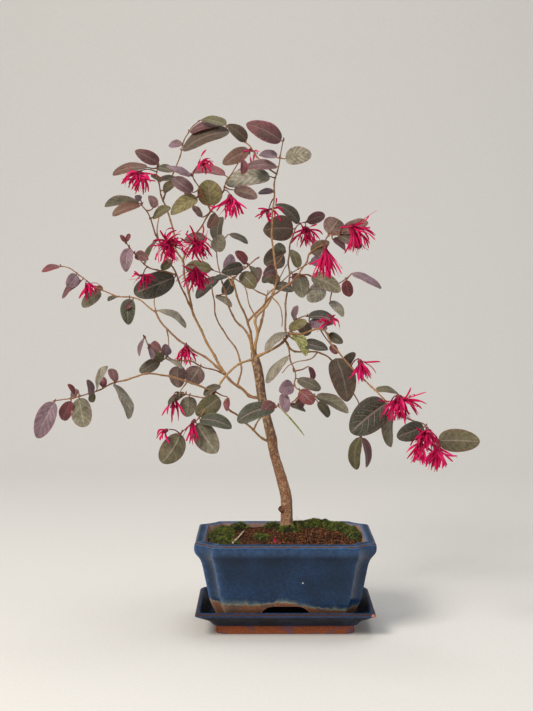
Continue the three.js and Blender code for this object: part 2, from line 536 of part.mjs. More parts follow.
// Leaf blade: an oval plate drooping to its tip, folded along the midrib when it is large.
function blade(start, end, seen, grow) {
  const along = end.clone().sub(start);
  const length = along.length();
  along.normalize();
  const toEye = EYE.clone().sub(start);
  toEye.addScaledVector(along, -toEye.dot(along)).normalize();
  const sideways = along.clone().cross(toEye);
  const width = Math.max(LEAF_BREADTH * length, Math.abs(seen));
  const cosine = Math.abs(seen) / width;
  const sine = Math.sqrt(1 - cosine * cosine);
  const facing = Math.sign(seen) * cosine;
  const turn = sideways.z >= 0 ? sine : -sine;
  const normal = toEye.clone().multiplyScalar(facing).addScaledVector(sideways, turn).normalize();
  const across = normal.clone().cross(along);
  const stations = length < SMALL_LEAF ? SMALL_LEAF_STATIONS : LEAF_STATIONS;
  const rings = stations.map(([share, wide]) => {
    const half = (wide * width) / 2 + grow;
    const arch = LEAF_ARCH * length * Math.sin(Math.PI * share);
    const centre = start.clone()
      .addScaledVector(along, share * length + (share === 0 ? -grow : share === 1 ? grow : 0))
      .addScaledVector(normal, arch);
    const edge = LEAF_FOLD * half;
    const thick = LEAF_THICKNESS / 2 + grow;
    const flat = [[-half, -thick], [half, -thick], [half, thick], [-half, thick]];
    const folded = [[-half, edge - thick], [0, -thick], [half, edge - thick],
      [half, edge + thick], [0, thick], [-half, edge + thick]];
    return (length < SMALL_LEAF ? flat : folded).map(([x, z]) => centre.clone()
      .addScaledVector(across, x).addScaledVector(normal, z));
  });
  return solid(loft(rings));
}

function buildShoot(shoot, lines, grow) {
  let body = null;
  for (const line of lines) {
    const arm = stem(line, [SHOOT_RADIUS, SHOOT_TIP_RADIUS], 4, grow);
    body = body ? body.add(arm) : arm;
  }
  for (const [u0, v0, u1, v1, seen, lean] of shoot.leaves) {
    const foot = nearest(lines, [u0, v0]);
    const start = place([u0, v0], foot.depth);
    const end = place([u1, v1], foot.depth + lean);
    body = body.add(blade(start, end, seen, grow));
    const inLeaf = start.clone().lerp(end, 0.12);
    const radius = PETIOLE_RADIUS + grow;
    body = body.add(tube([foot.point, inLeaf], [radius, radius], 3));
  }
  return body;
}

// Strap petal: a narrow plate that bends down along its length.
function strap(centre, direction, length, grow) {
  const side = direction.clone().cross(new THREE.Vector3(0, 0, 1));
  if (side.lengthSq() < 0.01) side.set(1, 0, 0);
  side.normalize();
  const rings = STRAP_SHARES.map((share) => {
    const point = centre.clone().addScaledVector(direction, share * length);
    point.z -= STRAP_SAG * length * share * share;
    const upward = direction.clone().cross(side);
    const half = STRAP_WIDTH / 2 + grow;
    const thick = STRAP_THICKNESS / 2 + grow;
    return [[half, -thick], [half, thick], [-half, thick], [-half, -thick]]
      .map(([x, z]) => point.clone().addScaledVector(side, x).addScaledVector(upward, z));
  });
  return solid(loft(rings));
}

// Cluster of straps round a small calyx, on a stalk that leaves the shoot.
function buildFlower(flower, lines, seed, grow) {
  const foot = nearest(lines, flower.at);
  const centre = place(flower.at, foot.depth + flower.lean);
  const calyx = solid(new THREE.IcosahedronGeometry(CALYX_RADIUS + grow, 0).translate(...centre));
  const radius = PETIOLE_RADIUS + grow;
  let body = calyx.add(tube([foot.point, centre], [radius, radius], 3));
  for (let i = 0; i < flower.straps; i++) {
    const turn = (2 * Math.PI * i) / flower.straps + seed;
    const rise = STRAP_RISES[i % STRAP_RISES.length];
    const direction = new THREE.Vector3(
      Math.cos(turn) * Math.cos(rise), Math.sin(turn) * Math.cos(rise), Math.sin(rise));
    body = body.add(strap(centre, direction, STRAP_LENGTH, grow));
  }
  return body;
}

const group = new THREE.Group();
const placed = [];
const linesOf = { trunk: [TRUNK.map(([across, up, depth]) => (
  { drawn: [across, up], depth, point: place([across, up], depth) }))] };

function largest(body) {
  return body.decompose().reduce((a, b) => (a.volume() >= b.volume() ? a : b));
}

function near(a, b) {
  return [0, 1, 2].every((k) => a.min[k] - 1 < b.max[k] && b.min[k] - 1 < a.max[k]);
}

// Adds a piece to the group, cut clear of everything that is already there.
function add(name, [colour, roughness], build, clearOfAll = true) {
  let body = build(0);
  for (const other of clearOfAll ? placed : []) {
    if (near(body.boundingBox(), other.box)) {
      other.grown ??= other.build(GAP);
      body = body.subtract(other.grown);
    }
  }
  body = largest(body.simplify(SMALLEST_DETAIL));
  const material = new THREE.MeshStandardMaterial({ color: colour, roughness, metalness: 0 });
  const lifted = body.translate([0, 0, TABLE_DROP]);
  const mesh = new THREE.Mesh(geometryOf(lifted), material);
  mesh.name = name;
  group.add(mesh);
  placed.push({ name, build, box: body.boundingBox() });
}

const fixed = (body) => () => body;
add("saucer", COLOURS.saucerGlaze, fixed(buildSaucer()), false);
add("pot", COLOURS.glaze, fixed(buildPot()), false);
placed.length = 0;
add("drain_screen_left", COLOURS.screen, (grow) => buildScreen(-DRAIN_HOLE_X, grow));
add("drain_screen_right", COLOURS.screen, (grow) => buildScreen(DRAIN_HOLE_X, grow));
add("trunk", COLOURS.bark, buildTrunk);
add("soil", COLOURS.soil, buildSoil);
add("fallen_twig", COLOURS.twig, (grow) => tube(
  FALLEN_TWIG.map((point) => new THREE.Vector3(...point)),
  FALLEN_TWIG.map(() => FALLEN_TWIG_RADIUS + grow), 6));
for (const [name, row] of Object.entries(MOSS)) {
  add(name, COLOURS.moss, (grow) => buildMoss(row, grow));
}

for (const [name, limb] of Object.entries(LIMBS)) {
  const root = nearest(linesOf[limb.on], limb.route[0]);
  const lines = [lineOf(limb, root.depth)];
  if (limb.branch) {
    lines.push(lineOf(limb.branch, nearest(lines, limb.branch.route[0]).depth));
  }
  linesOf[name] = lines;
  add(name, COLOURS.twig, (grow) => {
    const main = stem(lines[0], limb.radii, 6, grow);
    return lines[1] ? main.add(stem(lines[1], limb.branch.radii, 6, grow)) : main;
  });
}

for (const [name, shoot] of Object.entries(SHOOTS)) {
  const root = nearest(linesOf[shoot.on], shoot.route[0]);
  const lines = [lineOf(shoot, root.depth)];
  if (shoot.branch) {
    lines.push(lineOf(shoot.branch, nearest(lines, shoot.branch.route[0]).depth));
  }
  linesOf[name] = lines;
  add(name, COLOURS.leaf, (grow) => buildShoot(shoot, lines, grow));
}

Object.entries(FLOWERS).forEach(([name, flower], index) => {
  add(name, COLOURS.flower, (grow) => buildFlower(flower, linesOf[flower.on], index, grow));
});

export default group;
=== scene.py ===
# %% [markdown]
# # A chinese fringe flower bonsai in its glazed pot
#
# A real one is a thin woody shrub, trained for some years in a shallow clay pot. This lesson builds it
# in the order it would be put together: saucer, pot, soil and moss first, then the wood, then the
# leaves and flowers that grow on the wood. Every piece is a mesh made from a few given lines and
# sizes in millimetres, because a tree is easier to draw as lines with a thickness than as faces. Heights
# are drawn from a level just above the table, and each piece is lifted by that much when it is built.

# %% Tools and the fixed model
import math
import random
from functools import partial

import bpy
import numpy as np
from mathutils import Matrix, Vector, noise


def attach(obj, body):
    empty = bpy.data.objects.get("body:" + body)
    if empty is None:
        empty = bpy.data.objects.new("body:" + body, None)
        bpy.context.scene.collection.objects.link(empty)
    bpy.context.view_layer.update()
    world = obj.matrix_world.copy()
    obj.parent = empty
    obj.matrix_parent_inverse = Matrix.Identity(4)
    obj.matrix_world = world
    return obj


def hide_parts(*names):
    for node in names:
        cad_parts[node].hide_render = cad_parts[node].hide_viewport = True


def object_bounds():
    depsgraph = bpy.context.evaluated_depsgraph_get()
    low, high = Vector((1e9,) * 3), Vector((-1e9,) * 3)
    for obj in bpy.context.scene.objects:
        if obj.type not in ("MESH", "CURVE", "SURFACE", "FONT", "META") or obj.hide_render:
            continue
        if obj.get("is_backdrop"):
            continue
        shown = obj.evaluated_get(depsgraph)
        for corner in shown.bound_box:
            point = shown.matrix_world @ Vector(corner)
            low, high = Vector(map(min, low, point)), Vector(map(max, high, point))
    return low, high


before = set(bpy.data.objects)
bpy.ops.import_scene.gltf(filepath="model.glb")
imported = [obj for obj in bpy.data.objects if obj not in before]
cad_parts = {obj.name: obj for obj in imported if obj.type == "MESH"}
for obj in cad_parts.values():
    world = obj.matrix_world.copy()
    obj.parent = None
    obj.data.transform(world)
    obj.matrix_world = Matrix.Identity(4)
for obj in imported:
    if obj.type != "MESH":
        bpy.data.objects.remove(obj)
cad_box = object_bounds()
print("fixed model's box in metres:", [[round(c, 3) for c in corner] for corner in cad_box])

MM = 0.001
TABLE_DROP = 2.6
FULL_TURN = 2 * math.pi
UP = Vector((0, 0, 1))


# %% [markdown]
# Colours are read from pictures as sRGB hex values, but a renderer adds up light, which needs linear
# numbers. One function turns them over. A second one adds a shader node with its settings and links,
# so that each material below reads as a short recipe.

# %% Colours and shader nodes
def colour(hex_value):
    """Linear RGBA of an sRGB hex colour."""
    channels = []
    for start in (1, 3, 5):
        share = int(hex_value[start:start + 2], 16) / 255
        channels.append(share / 12.92 if share <= 0.04045 else ((share + 0.055) / 1.055) ** 2.4)
    return (*channels, 1.0)


def add_node(tree, kind, links=None, out=0, stops=(), **settings):
    """Adds a node with its settings and links, and gives back its output called out.

    links holds a value or a socket for each input; stops are a ramp's (place, hex colour) pairs."""
    node = tree.nodes.new("ShaderNode" + kind)
    for key, value in settings.items():
        setattr(node, key, value)
    for key, value in (links or {}).items():
        if isinstance(value, bpy.types.NodeSocket):
            tree.links.new(value, node.inputs[key])
        else:
            node.inputs[key].default_value = value
    for index, (share, hex_value) in enumerate(stops):
        elements = node.color_ramp.elements
        stop = elements[index] if index < len(elements) else elements.new(share)
        stop.position = share
        stop.color = colour(hex_value)
    return node.outputs[out] if node.outputs else node


def start_material(name):
    """An empty material, and add_node made ready to fill it."""
    material = bpy.data.materials.new(name)
    material.use_nodes = True
    material.node_tree.nodes.clear()
    return material, partial(add_node, material.node_tree)


def repeats(size):
    """Pattern scale for blobs or cells that are size millimetres across."""
    return 1 / (size * MM)


# Two ways for a colour to lie on another: as a layer over it, or as a tint that darkens it.
COVERING = {"data_type": "RGBA"}
TINTING = {"data_type": "RGBA", "blend_type": "MULTIPLY"}


# %% [markdown]
# A piece is gathered from many small parts, such as the stem, the stalks and the blades of one leafy
# shoot. The class below collects their points and faces, with a tint and a mark for each point, and
# makes one mesh of them. Both are kept as attributes, so that one material can serve every leaf.

# %% Gathering a piece
class Piece:
    """Points, faces and finishes of one piece, gathered before they become a mesh."""

    def __init__(self, name):
        self.name = name
        self.points = []
        self.faces = []
        self.finishes = []
        self.tints = []
        self.marks = []

    def add(self, points, faces, finish=0, tint=(1, 1, 1, 1), marks=None):
        """Points are in millimetres. One finish serves all faces and one tint all points, or a list
        gives one for each."""
        start = len(self.points)
        self.points.extend(points)
        self.faces.extend([tuple(start + i for i in face) for face in faces])
        self.finishes.extend(finish if isinstance(finish, list) else [finish] * len(faces))
        self.tints.extend(tint if isinstance(tint, list) else [tint] * len(points))
        self.marks.extend(marks if marks is not None else [(0.0, 0.0, 0.0)] * len(points))

    def build(self, materials, smooth=True, lift=TABLE_DROP):
        """Makes the mesh in metres, and puts it in the scene."""
        mesh = bpy.data.meshes.new(self.name)
        raised = [(x * MM, y * MM, (z + lift) * MM) for x, y, z in self.points]
        mesh.from_pydata(raised, [], self.faces)
        for material in materials:
            mesh.materials.append(material)
        mesh.polygons.foreach_set("material_index", self.finishes)
        mesh.polygons.foreach_set("use_smooth", [smooth] * len(self.faces))
        tint = mesh.attributes.new("tint", "FLOAT_COLOR", "POINT")
        tint.data.foreach_set("color", np.array(self.tints, dtype=np.float32).ravel())
        mark = mesh.attributes.new("mark", "FLOAT_VECTOR", "POINT")
        mark.data.foreach_set("vector", np.array(self.marks, dtype=np.float32).ravel())
        mesh.update()
        piece = bpy.data.objects.new(self.name, mesh)
        bpy.context.scene.collection.objects.link(piece)
        return piece


def settle(piece, slot_name, *nodes):
    """Lets a piece ride on the model and stand for its fixed nodes, which it hides."""
    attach(piece, "root")
    if nodes:
        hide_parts(*nodes)
    count = sum(len(p.vertices) - 2 for p in piece.data.polygons)
    print(f"{piece.name}: {count} triangles")
    return count


def ring_skin(rings):
    """Points and faces of rings of equal length joined into a closed skin."""
    sides = len(rings[0])
    points = [tuple(p) for ring in rings for p in ring]
    faces = []
    for row in range(len(rings) - 1):
        for side in range(sides):
            a = row * sides + side
            b = row * sides + (side + 1) % sides
            faces.append((a, b, b + sides, a + sides))
    faces.append(tuple(range(sides))[::-1])
    last = (len(rings) - 1) * sides
    faces.append(tuple(range(last, last + sides)))
    return points, faces


# %% [markdown]
# Pot and saucer are pressed in moulds, so each is a stack of outlines. The pot's outline is a rectangle
# with its corners cut in by a shallow hollow, which gives two ridges at every corner; the saucer's has
# small round corners. Joining the outlines from the middle of the underside, round the foot, up the
# outside, over the rim and down the inside gives one closed skin with its true thickness, which a solid
# with a thickness added later would not.

# %% Outlines of the pot and the saucer
RIDGE_ROUNDING = 1.3
# In roundings: how far before a ridge the points lie, and where the last one starts to turn.
RIDGE_GAPS = (6, 3, 1)
RIDGE_LEAD = 0.2
RIDGE_DIP = 0.06
FLAT_STEPS = 4
HOLLOW_STEPS = 8
# Along a quarter of an outline, how sharply the surface turns at each point, from 0 to 1.
HOLLOW_RIDGES = {5: 0.15, 6: 0.5, 7: 1, 8: 0.45, 9: 0.1, 13: 0.1, 14: 0.45, 15: 1, 16: 0.5, 17: 0.15}
ROUND_RIDGES = {8: 0.1, 9: 0.4, 10: 0.8, 11: 1, 12: 0.8, 13: 0.4, 14: 0.1}


def outline(half_width, half_depth, corner, hollow=True):
    """Points round a rectangle with hollow or round corners, anticlockwise."""
    nearing = [gap * RIDGE_ROUNDING for gap in RIDGE_GAPS]
    lead, dip = RIDGE_LEAD * RIDGE_ROUNDING, RIDGE_DIP * RIDGE_ROUNDING
    flat_y = half_depth - corner - nearing[0]
    flat_x = half_width - corner - nearing[0]
    quarter = [(half_width, flat_y * (k + 0.5) / FLAT_STEPS) for k in range(FLAT_STEPS)]
    quarter += [(half_width, half_depth - corner - gap) for gap in nearing]
    quarter.append((half_width - dip, half_depth - corner - lead))
    for step in range(1, HOLLOW_STEPS):
        share = step / HOLLOW_STEPS
        turn = share * math.pi / 2
        # A shallow hollow is halfway between a straight cut and an arc.
        cut_x = (share + math.sin(turn)) / 2 if hollow else 1 - math.cos(turn)
        cut_y = (1 - share + math.cos(turn)) / 2 if hollow else 1 - math.sin(turn)
        quarter.append((half_width - cut_x * corner, half_depth - cut_y * corner))
    quarter.append((half_width - corner - lead, half_depth - dip))
    quarter += [(half_width - corner - gap, half_depth) for gap in nearing[::-1]]
    quarter += [(flat_x * (k + 0.5) / FLAT_STEPS, half_depth) for k in range(FLAT_STEPS)][::-1]
    back = quarter[::-1]
    return (quarter + [(-x, y) for x, y in back] + [(-x, -y) for x, y in quarter]
            + [(x, -y) for x, y in back])


def ridge_at(index, around, ridges):
    """How much of a ridge there is at one point of an outline."""
    quarter = around // 4
    place = index % quarter
    if (index // quarter) % 2:
        place = quarter - 1 - place
    return ridges.get(place, 0)


def cut(piece, cutters):
    """Cuts closed shapes out of a piece and keeps the result as its mesh."""
    for cutter in cutters:
        modifier = piece.modifiers.new("cut", "BOOLEAN")
        modifier.object = cutter
        modifier.operation = "DIFFERENCE"
        modifier.solver = "EXACT"
    graph = bpy.context.evaluated_depsgraph_get()
    mesh = bpy.data.meshes.new_from_object(piece.evaluated_get(graph))
    piece.modifiers.clear()
    piece.data = mesh
    for cutter in cutters:
        bpy.data.objects.remove(cutter)


# Moulded points are marked with the height where their glaze ends; points with less are new.
LEAST_GLAZE_MARK = 1


def mark_cuts(piece, line_at, floor):
    """Marks the points that a cut made: bare clay above the floor's height, glaze line elsewhere."""
    for point, mark in zip(piece.data.vertices, piece.data.attributes["mark"].data):
        if mark.vector.z < LEAST_GLAZE_MARK:
            x, y, z = point.co / MM
            mark.vector = (0, float(z > floor), line_at(x, y) + TABLE_DROP)


# %% [markdown]
# The pot and saucer are glazed stoneware: a coarse brown or orange clay, dipped in a glassy glaze that
# stops in a wavy line short of the foot, so that the pot doesn't stick to the kiln shelf. The glaze
# runs thick and dark in hollows, turns pale where it is thin on a ridge, and breaks to brown on a sharp
# edge. The ridges on the left are made paler still as a painted highlight, and those on the right stay
# darker as painted shade. Those edges are known when the outlines are made, so each point carries a
# mark: how thin the glaze is, with that painted light and shade in it, how bare the clay is, and the
# height in millimetres where the glaze ends. The eye gets a wet gloss over cloudy blue, and a dull
# gritty foot below it.

# %% Glazed stoneware
GLAZE_IOR = 1.52
KILN_GRAIN = (14.6, -50.4, 46.4)
KILN_GRAIN_HEX = "#c9ccc8"


def glazed_stoneware(name, glaze_stops, thin_glaze_and_highlight_hex, break_hex, film_hex, clay_stops, stain_hex,
                     bloom_hex, film_reach, gloss_range, shine):
    """Glaze over clay, told apart by the marks of the piece."""
    material, node = start_material(name)
    where = node("TexCoord", out="Object")
    mark = node("SeparateXYZ", {0: node("Attribute", attribute_name="mark", out="Vector")}).node
    height = node("SeparateXYZ", {0: where}, "Z")

    # The lower edge of the glaze follows its mark with a 5 mm ripple.
    flat = node("Mapping", {"Vector": where, "Scale": (1, 1, 0)})
    ripple = node("TexNoise", {"Vector": flat, "Scale": repeats(5), "Detail": 3}, "Fac")
    ripple = node("MapRange", {0: ripple, 1: 0.3, 2: 0.7, 3: -1.1 * MM, 4: 1.1 * MM})
    line = node("Math", {0: mark.outputs["Z"], 1: MM, 2: ripple}, operation="MULTIPLY_ADD")
    above = node("Math", {0: height, 1: line}, operation="SUBTRACT")
    covered = node("MapRange", {0: above, 1: -0.2 * MM, 2: 0.4 * MM})

    # Soft clouds 22 mm wide, drawn out a little as the glaze ran, with a 1.6 mm speckle in them. The
    # glaze is thinner and paler over the last 22 mm above its edge.
    run = node("Mapping", {"Vector": where, "Scale": (1, 1, 0.7)})
    clouds = node("TexNoise", {"Vector": run, "Scale": repeats(22), "Detail": 5,
                               "Roughness": 0.6}, "Fac")
    speckle = node("TexNoise", {"Vector": where, "Scale": repeats(1.6), "Detail": 2}, "Fac")
    cloudy = node("Math", {0: clouds, 1: 0.45, 2: 0.07}, operation="MULTIPLY_ADD")
    mottle = node("Math", {0: speckle, 1: 0.4, 2: cloudy}, operation="MULTIPLY_ADD")
    low_down = node("MapRange", {0: above, 1: 22 * MM, 2: 0, 3: 0, 4: 0.09})
    mottle = node("Math", {0: mottle, 1: low_down}, operation="ADD")
    glaze = node("ValToRGB", {0: mottle}, stops=glaze_stops)

    # On ridges the glaze is thin and pale, unevenly over a few millimetres, and on the left ridges that
    # pale is partly a painted highlight; on arrises it breaks.
    uneven = node("TexNoise", {"Vector": where, "Scale": repeats(4), "Detail": 4}, "Fac")
    uneven = node("MapRange", {0: uneven, 1: 0.35, 2: 0.65, 3: 0.45, 4: 1.1})
    thin = node("Math", {0: mark.outputs["X"], 1: uneven}, operation="MULTIPLY", use_clamp=True)
    pale = node("MapRange", {0: thin, 1: 0, 2: 0.75})
    broken = node("MapRange", {0: thin, 1: 0.62, 2: 0.85})

    # The glaze ends in a pale line with a thin film above it, which reaches further up in some places
    # than in others. One grain of kiln dust sticks in it.
    spread = node("TexNoise", {"Vector": where, "Scale": repeats(24), "Detail": 2}, "Fac")
    spread = node("MapRange", {0: spread, 1: 0.38, 2: 0.62, 3: 0.5 * film_reach * MM,
                               4: 1.6 * film_reach * MM})
    film = node("MapRange", {0: above, 1: spread, 2: 0.3 * MM})
    film = node("Math", {0: film, 1: 2}, operation="POWER")
    film = node("Math", {0: film, 1: uneven}, operation="MULTIPLY", use_clamp=True)
    grain = node("VectorMath", {0: where, 1: Vector(KILN_GRAIN) * MM}, "Value", operation="DISTANCE")
    grain = node("MapRange", {0: grain, 1: 0.75 * MM, 2: 0.5 * MM})
    for share, layer_hex in ((pale, thin_glaze_and_highlight_hex), (broken, break_hex), (film, film_hex),
                             (grain, KILN_GRAIN_HEX)):
        glaze = node("Mix", {0: share, 6: glaze, 7: colour(layer_hex)}, 2, **COVERING)

    # Fired clay with 0.8 mm grog and blotches about 10 mm wide where ash or glaze touched it. Where it
    # is bare and the mark for thin glaze is set, lime from the water has left a pale bloom.
    grog = node("TexNoise", {"Vector": where, "Scale": repeats(0.8), "Detail": 3}, "Fac")
    clay = node("ValToRGB", {0: grog}, stops=clay_stops)
    blotch = node("TexNoise", {"Vector": where, "Scale": repeats(10), "Detail": 4}, "Fac")
    blotch = node("MapRange", {0: blotch, 1: 0.53, 2: 0.62, 3: 0, 4: 0.7})
    clay = node("Mix", {0: blotch, 6: clay, 7: colour(stain_hex)}, 2, **COVERING)
    clay = node("Mix", {0: thin, 6: clay, 7: colour(bloom_hex)}, 2, **COVERING)
    uncovered = node("Math", {0: 1, 1: covered}, operation="SUBTRACT")
    bare = node("Math", {0: uncovered, 1: mark.outputs["Y"]}, operation="MAXIMUM")
    skin = node("Mix", {0: bare, 6: glaze, 7: clay}, 2, **COVERING)

    # Glaze has an orange peel 3 mm wide and dulls in patches of 9 mm; bare clay is gritty. Level
    # faces are dulled by dust and dried water.
    patches = node("TexNoise", {"Vector": where, "Scale": repeats(9), "Detail": 3}, "Fac")
    gloss = node("MapRange", {0: patches, 1: 0.3, 2: 0.7, 3: gloss_range[0], 4: gloss_range[1]})
    facing_up = node("SeparateXYZ", {0: node("NewGeometry", out="Normal")}, "Z")
    dusty = node("MapRange", {0: facing_up, 1: 0.6, 2: 0.95, 3: 0, 4: 0.5})
    gloss = node("Math", {0: gloss, 1: dusty}, operation="ADD", use_clamp=True)
    roughness = node("Mix", {0: bare, 2: gloss, 3: 0.9})
    peel = node("TexNoise", {"Vector": where, "Scale": repeats(3.2), "Detail": 1}, "Fac")
    peel = node("Bump", {"Height": peel, "Strength": 0.15, "Distance": 0.3 * MM})
    grit = node("Math", {0: grog, 1: bare}, operation="MULTIPLY")
    grit = node("Bump", {"Height": grit, "Strength": 0.7, "Distance": 0.25 * MM, "Normal": peel})
    shader = node("BsdfPrincipled", {"Base Color": skin, "Roughness": roughness, "Normal": grit,
                                     "IOR": GLAZE_IOR, "Specular IOR Level": shine})
    node("OutputMaterial", {"Surface": shader})
    return material


POT_FINISH = glazed_stoneware(
    "cobalt glazed stoneware",
    [(0.38, "#0d2034"), (0.47, "#112740"), (0.55, "#162f4d"), (0.68, "#203f64")],
    "#4a6a96", "#4c3529", "#868c7a",
    [(0.35, "#684636"), (0.55, "#865a40"), (0.7, "#a47454")], "#5c4c46", "#b89c8a", 4,
    (0.16, 0.32), 0.26)
SAUCER_FINISH = glazed_stoneware(
    "dark glazed terracotta",
    [(0.38, "#07090d"), (0.48, "#0c1017"), (0.58, "#141d2b"), (0.68, "#22334d")],
    "#36496a", "#452a22", "#4c4468",
    [(0.35, "#8c4a2e"), (0.55, "#a85c3a"), (0.7, "#bc704a")], "#6f5a6c", "#c08a78", 1.4,
    (0.34, 0.52), 0.14)
print("stoneware:", POT_FINISH.name, "and", SAUCER_FINISH.name)


# %% [markdown]
# The saucer's foot is a low unglazed block. Above it the sides flare in two slopes to a thin rim whose
# top slopes outwards, and inside it they fall back to a flat floor. The pot stands in it on a foot ring
# with a gap cut in each side, and water leaves through two holes. The gaps and holes go right through
# thick clay, so they are cut out of the finished skin with exact booleans.

# %% Saucer and pot
# Each level is half width, half depth, corner cut, height, how thin the glaze is, how bare.
SAUCER_LEVELS = [
    (30, 14, 6, -2.6, 0, 1), (58.7, 36.2, 7.5, -2.6, 0, 1), (59.5, 37, 8, -1.8, 0, 1),
    (59.5, 37, 8, 3.4, 0, 1), (60.2, 37.9, 7.5, 4.3, 0, 0.6), (61.4, 39.4, 7, 4.9, 0.2, 0),
    (62.8, 41.4, 6.5, 6.6, 0, 0), (64.4, 43.8, 6, 8.8, 0, 0), (65.6, 45.5, 5.5, 10.2, 0, 0),
    (67, 46.6, 5, 11, 0, 0), (71, 49, 4.5, 12.8, 0, 0), (75.6, 51.6, 4, 14.8, 0.1, 0),
    (76.5, 52.5, 4, 15.3, 0.6, 0), (76.5, 52.5, 4, 15.8, 0.7, 0), (76, 52, 4, 16.3, 0.3, 0),
    (75.5, 51.5, 4, 16.8, 2, 0), (75, 51, 4, 17.2, 1.6, 0), (74.4, 50.4, 4, 17.6, 0.5, 0),
    (73.6, 49.6, 4, 18.1, 0.6, 0), (72.9, 48.9, 4, 18.3, 0.7, 0), (72.2, 48.3, 4, 18, 0.4, 0),
    (71.4, 47.6, 4.5, 16.9, 0, 0), (68, 45.6, 5, 13.8, 0, 0), (64.4, 43.3, 6, 10.9, 0, 0),
    (63, 42.2, 6, 10.1, 0, 0), (60, 40, 5, 10, 0, 0), (30, 14, 4, 10, 0, 0),
]
SAUCER_GLAZE_LINE = 3.8
# A chip in the rim at the right front corner, and how wide it is.
RIM_CHIP = (75.6, -51.6, 18.6)
RIM_CHIP_WIDTH = 3.2
CHIP_MARK = (0.8, 1, 0)
# The pot is as much less deep than wide all the way up, so a level needs no depth of its own.
POT_DEPTH_LESS = 17.5
POT_LEVELS = [
    (31.5, 6, 23.5, 0, 1), (50, 7, 23.5, 0, 1), (49.3, 7, 12, 0, 1), (49.6, 7, 10.6, 0, 1),
    (50.6, 7.5, 10.3, 0, 1), (57.2, 9, 10.3, 0, 1), (58, 9, 11.2, 0, 0), (60.7, 9.5, 17.5, 0, 0),
    (63.5, 10, 23.4, 0, 0), (65.5, 10.5, 30, 0, 0), (67.1, 10.8, 39.5, 0, 0),
    (68.7, 11, 48, 0, 0), (70, 11.3, 55, 0, 0), (70.9, 11.6, 58.6, 0, 0),
    (71.9, 12, 61.4, 0, 0), (73.1, 12.6, 63.4, 0, 0), (74.6, 13.6, 65.2, 0, 0),
    (75.9, 14.7, 66.7, 0.05, 0), (76.8, 15.4, 68.1, 0.15, 0), (77.3, 15.9, 69.6, 0.2, 0),
    (77.5, 16, 71.2, 0.22, 0), (77.5, 16, 73, 0.24, 0), (77.3, 16, 74.4, 0.3, 0),
    (77, 15.9, 75.2, 1, 0), (76.5, 15.8, 75.8, 2, 0), (75.8, 15.5, 76.3, 0.6, 0),
    (74.5, 15, 76.7, 0, 0), (72.5, 14.2, 77, 0, 0), (71, 13.4, 77.05, 0.2, 0),
    (69.6, 12.6, 76.8, 0.9, 0), (68.8, 12.2, 76, 0.7, 0.3), (68.4, 12, 74.8, 0.55, 0.9),
    (67.3, 11.6, 72, 0.45, 1), (66.2, 11.2, 68, 0.2, 1), (61.5, 10.5, 48, 0, 1),
    (57, 10, 29, 0, 1), (31.5, 6, 29, 0, 1),
]
# Where the glaze ends along the front, as (across, height), from the left corner to the right.
GLAZE_END = [(-66, 28.6), (-60, 26.4), (-56, 25.2), (-50, 24), (-38, 24), (-21, 24), (-12, 25.2),
             (0, 27.4), (13, 23.4), (20, 21.8), (28, 20.8), (38, 19.6), (50, 19), (66, 20.6)]
# The front's line turns into the back's over this depth.
GLAZE_END_DEPTH = 90
# How much paler the ridges are on the left and on the right: the glaze is thinner on both, and the
# left ridges carry a painted highlight and the right ones painted shade, as the light comes from the
# left.
RIDGE_THINNING_AND_LIGHT = (0.6, 0.16)
# How far fired clay strays from true, over what width, from what height on, how soon in full, and
# how much of it upright.
WARP = 0.35
WARP_WIDTH = 38
WARP_START = 18
WARP_ONSET = 10
WARP_UPRIGHT = 0.6
WARP_SEED = 3


def glaze_line(x, y):
    """Height of the glaze's lower edge; the back is the front's line seen from behind."""
    across = [row[0] for row in GLAZE_END]
    heights = [row[1] for row in GLAZE_END]
    to_back = min(1, max(0, (y + GLAZE_END_DEPTH / 2) / GLAZE_END_DEPTH))
    front, back = np.interp(x, across, heights), np.interp(-x, across, heights)
    return front + to_back * (back - front)


def glazed_piece(name, levels, finish, line_at, hollow):
    """Stack of levels (half width, half depth, corner, height, thin, bare) as a piece."""
    rings, marks = [], []
    ridges = HOLLOW_RIDGES if hollow else ROUND_RIDGES
    for half_width, half_depth, corner, z, thin, bare in levels:
        ring = outline(half_width, half_depth, corner, hollow)
        rings.append([])
        for index, (x, y) in enumerate(ring):
            warp = noise.noise_vector(Vector((x, y, z)) / WARP_WIDTH) * WARP
            onset = min(1, max(0, (z - WARP_START) / WARP_ONSET))
            rings[-1].append((x + warp.x * onset, y + warp.y * onset,
                              z + WARP_UPRIGHT * warp.z * onset))
            # Through this mark the left ridges get a painted highlight and the right ones painted shade.
            ridge = RIDGE_THINNING_AND_LIGHT[x > 0] * ridge_at(index, len(ring), ridges) * (1 - bare)
            marks.append((max(thin, ridge), bare, line_at(x, y) + TABLE_DROP))
    piece = Piece(name)
    piece.add(*ring_skin(rings), marks=marks)
    return piece.build([finish])


def gap_cutter(name, side, reach, along_x):
    """Long block with the shape of the gap in the foot; side is its right half, from the bottom up."""
    profile = side + [(-x, z) for x, z in side[::-1]]
    ends = (-reach, reach) if along_x else (reach, -reach)
    rings = [[(far, x, z) if along_x else (x, far, z) for x, z in profile] for far in ends]
    block = Piece(name)
    block.add(*ring_skin(rings))
    return block.build([POT_FINISH], smooth=False)


def hole_cutter(name, x, radius, low, high):
    """Upright rod with the shape of a drain hole."""
    turns = [FULL_TURN * k / HOLE_SIDES for k in range(HOLE_SIDES)]
    rings = [[(x + radius * math.cos(turn), radius * math.sin(turn), z) for turn in turns]
             for z in (low, high)]
    rod = Piece(name)
    rod.add(*ring_skin(rings))
    return rod.build([POT_FINISH], smooth=False)


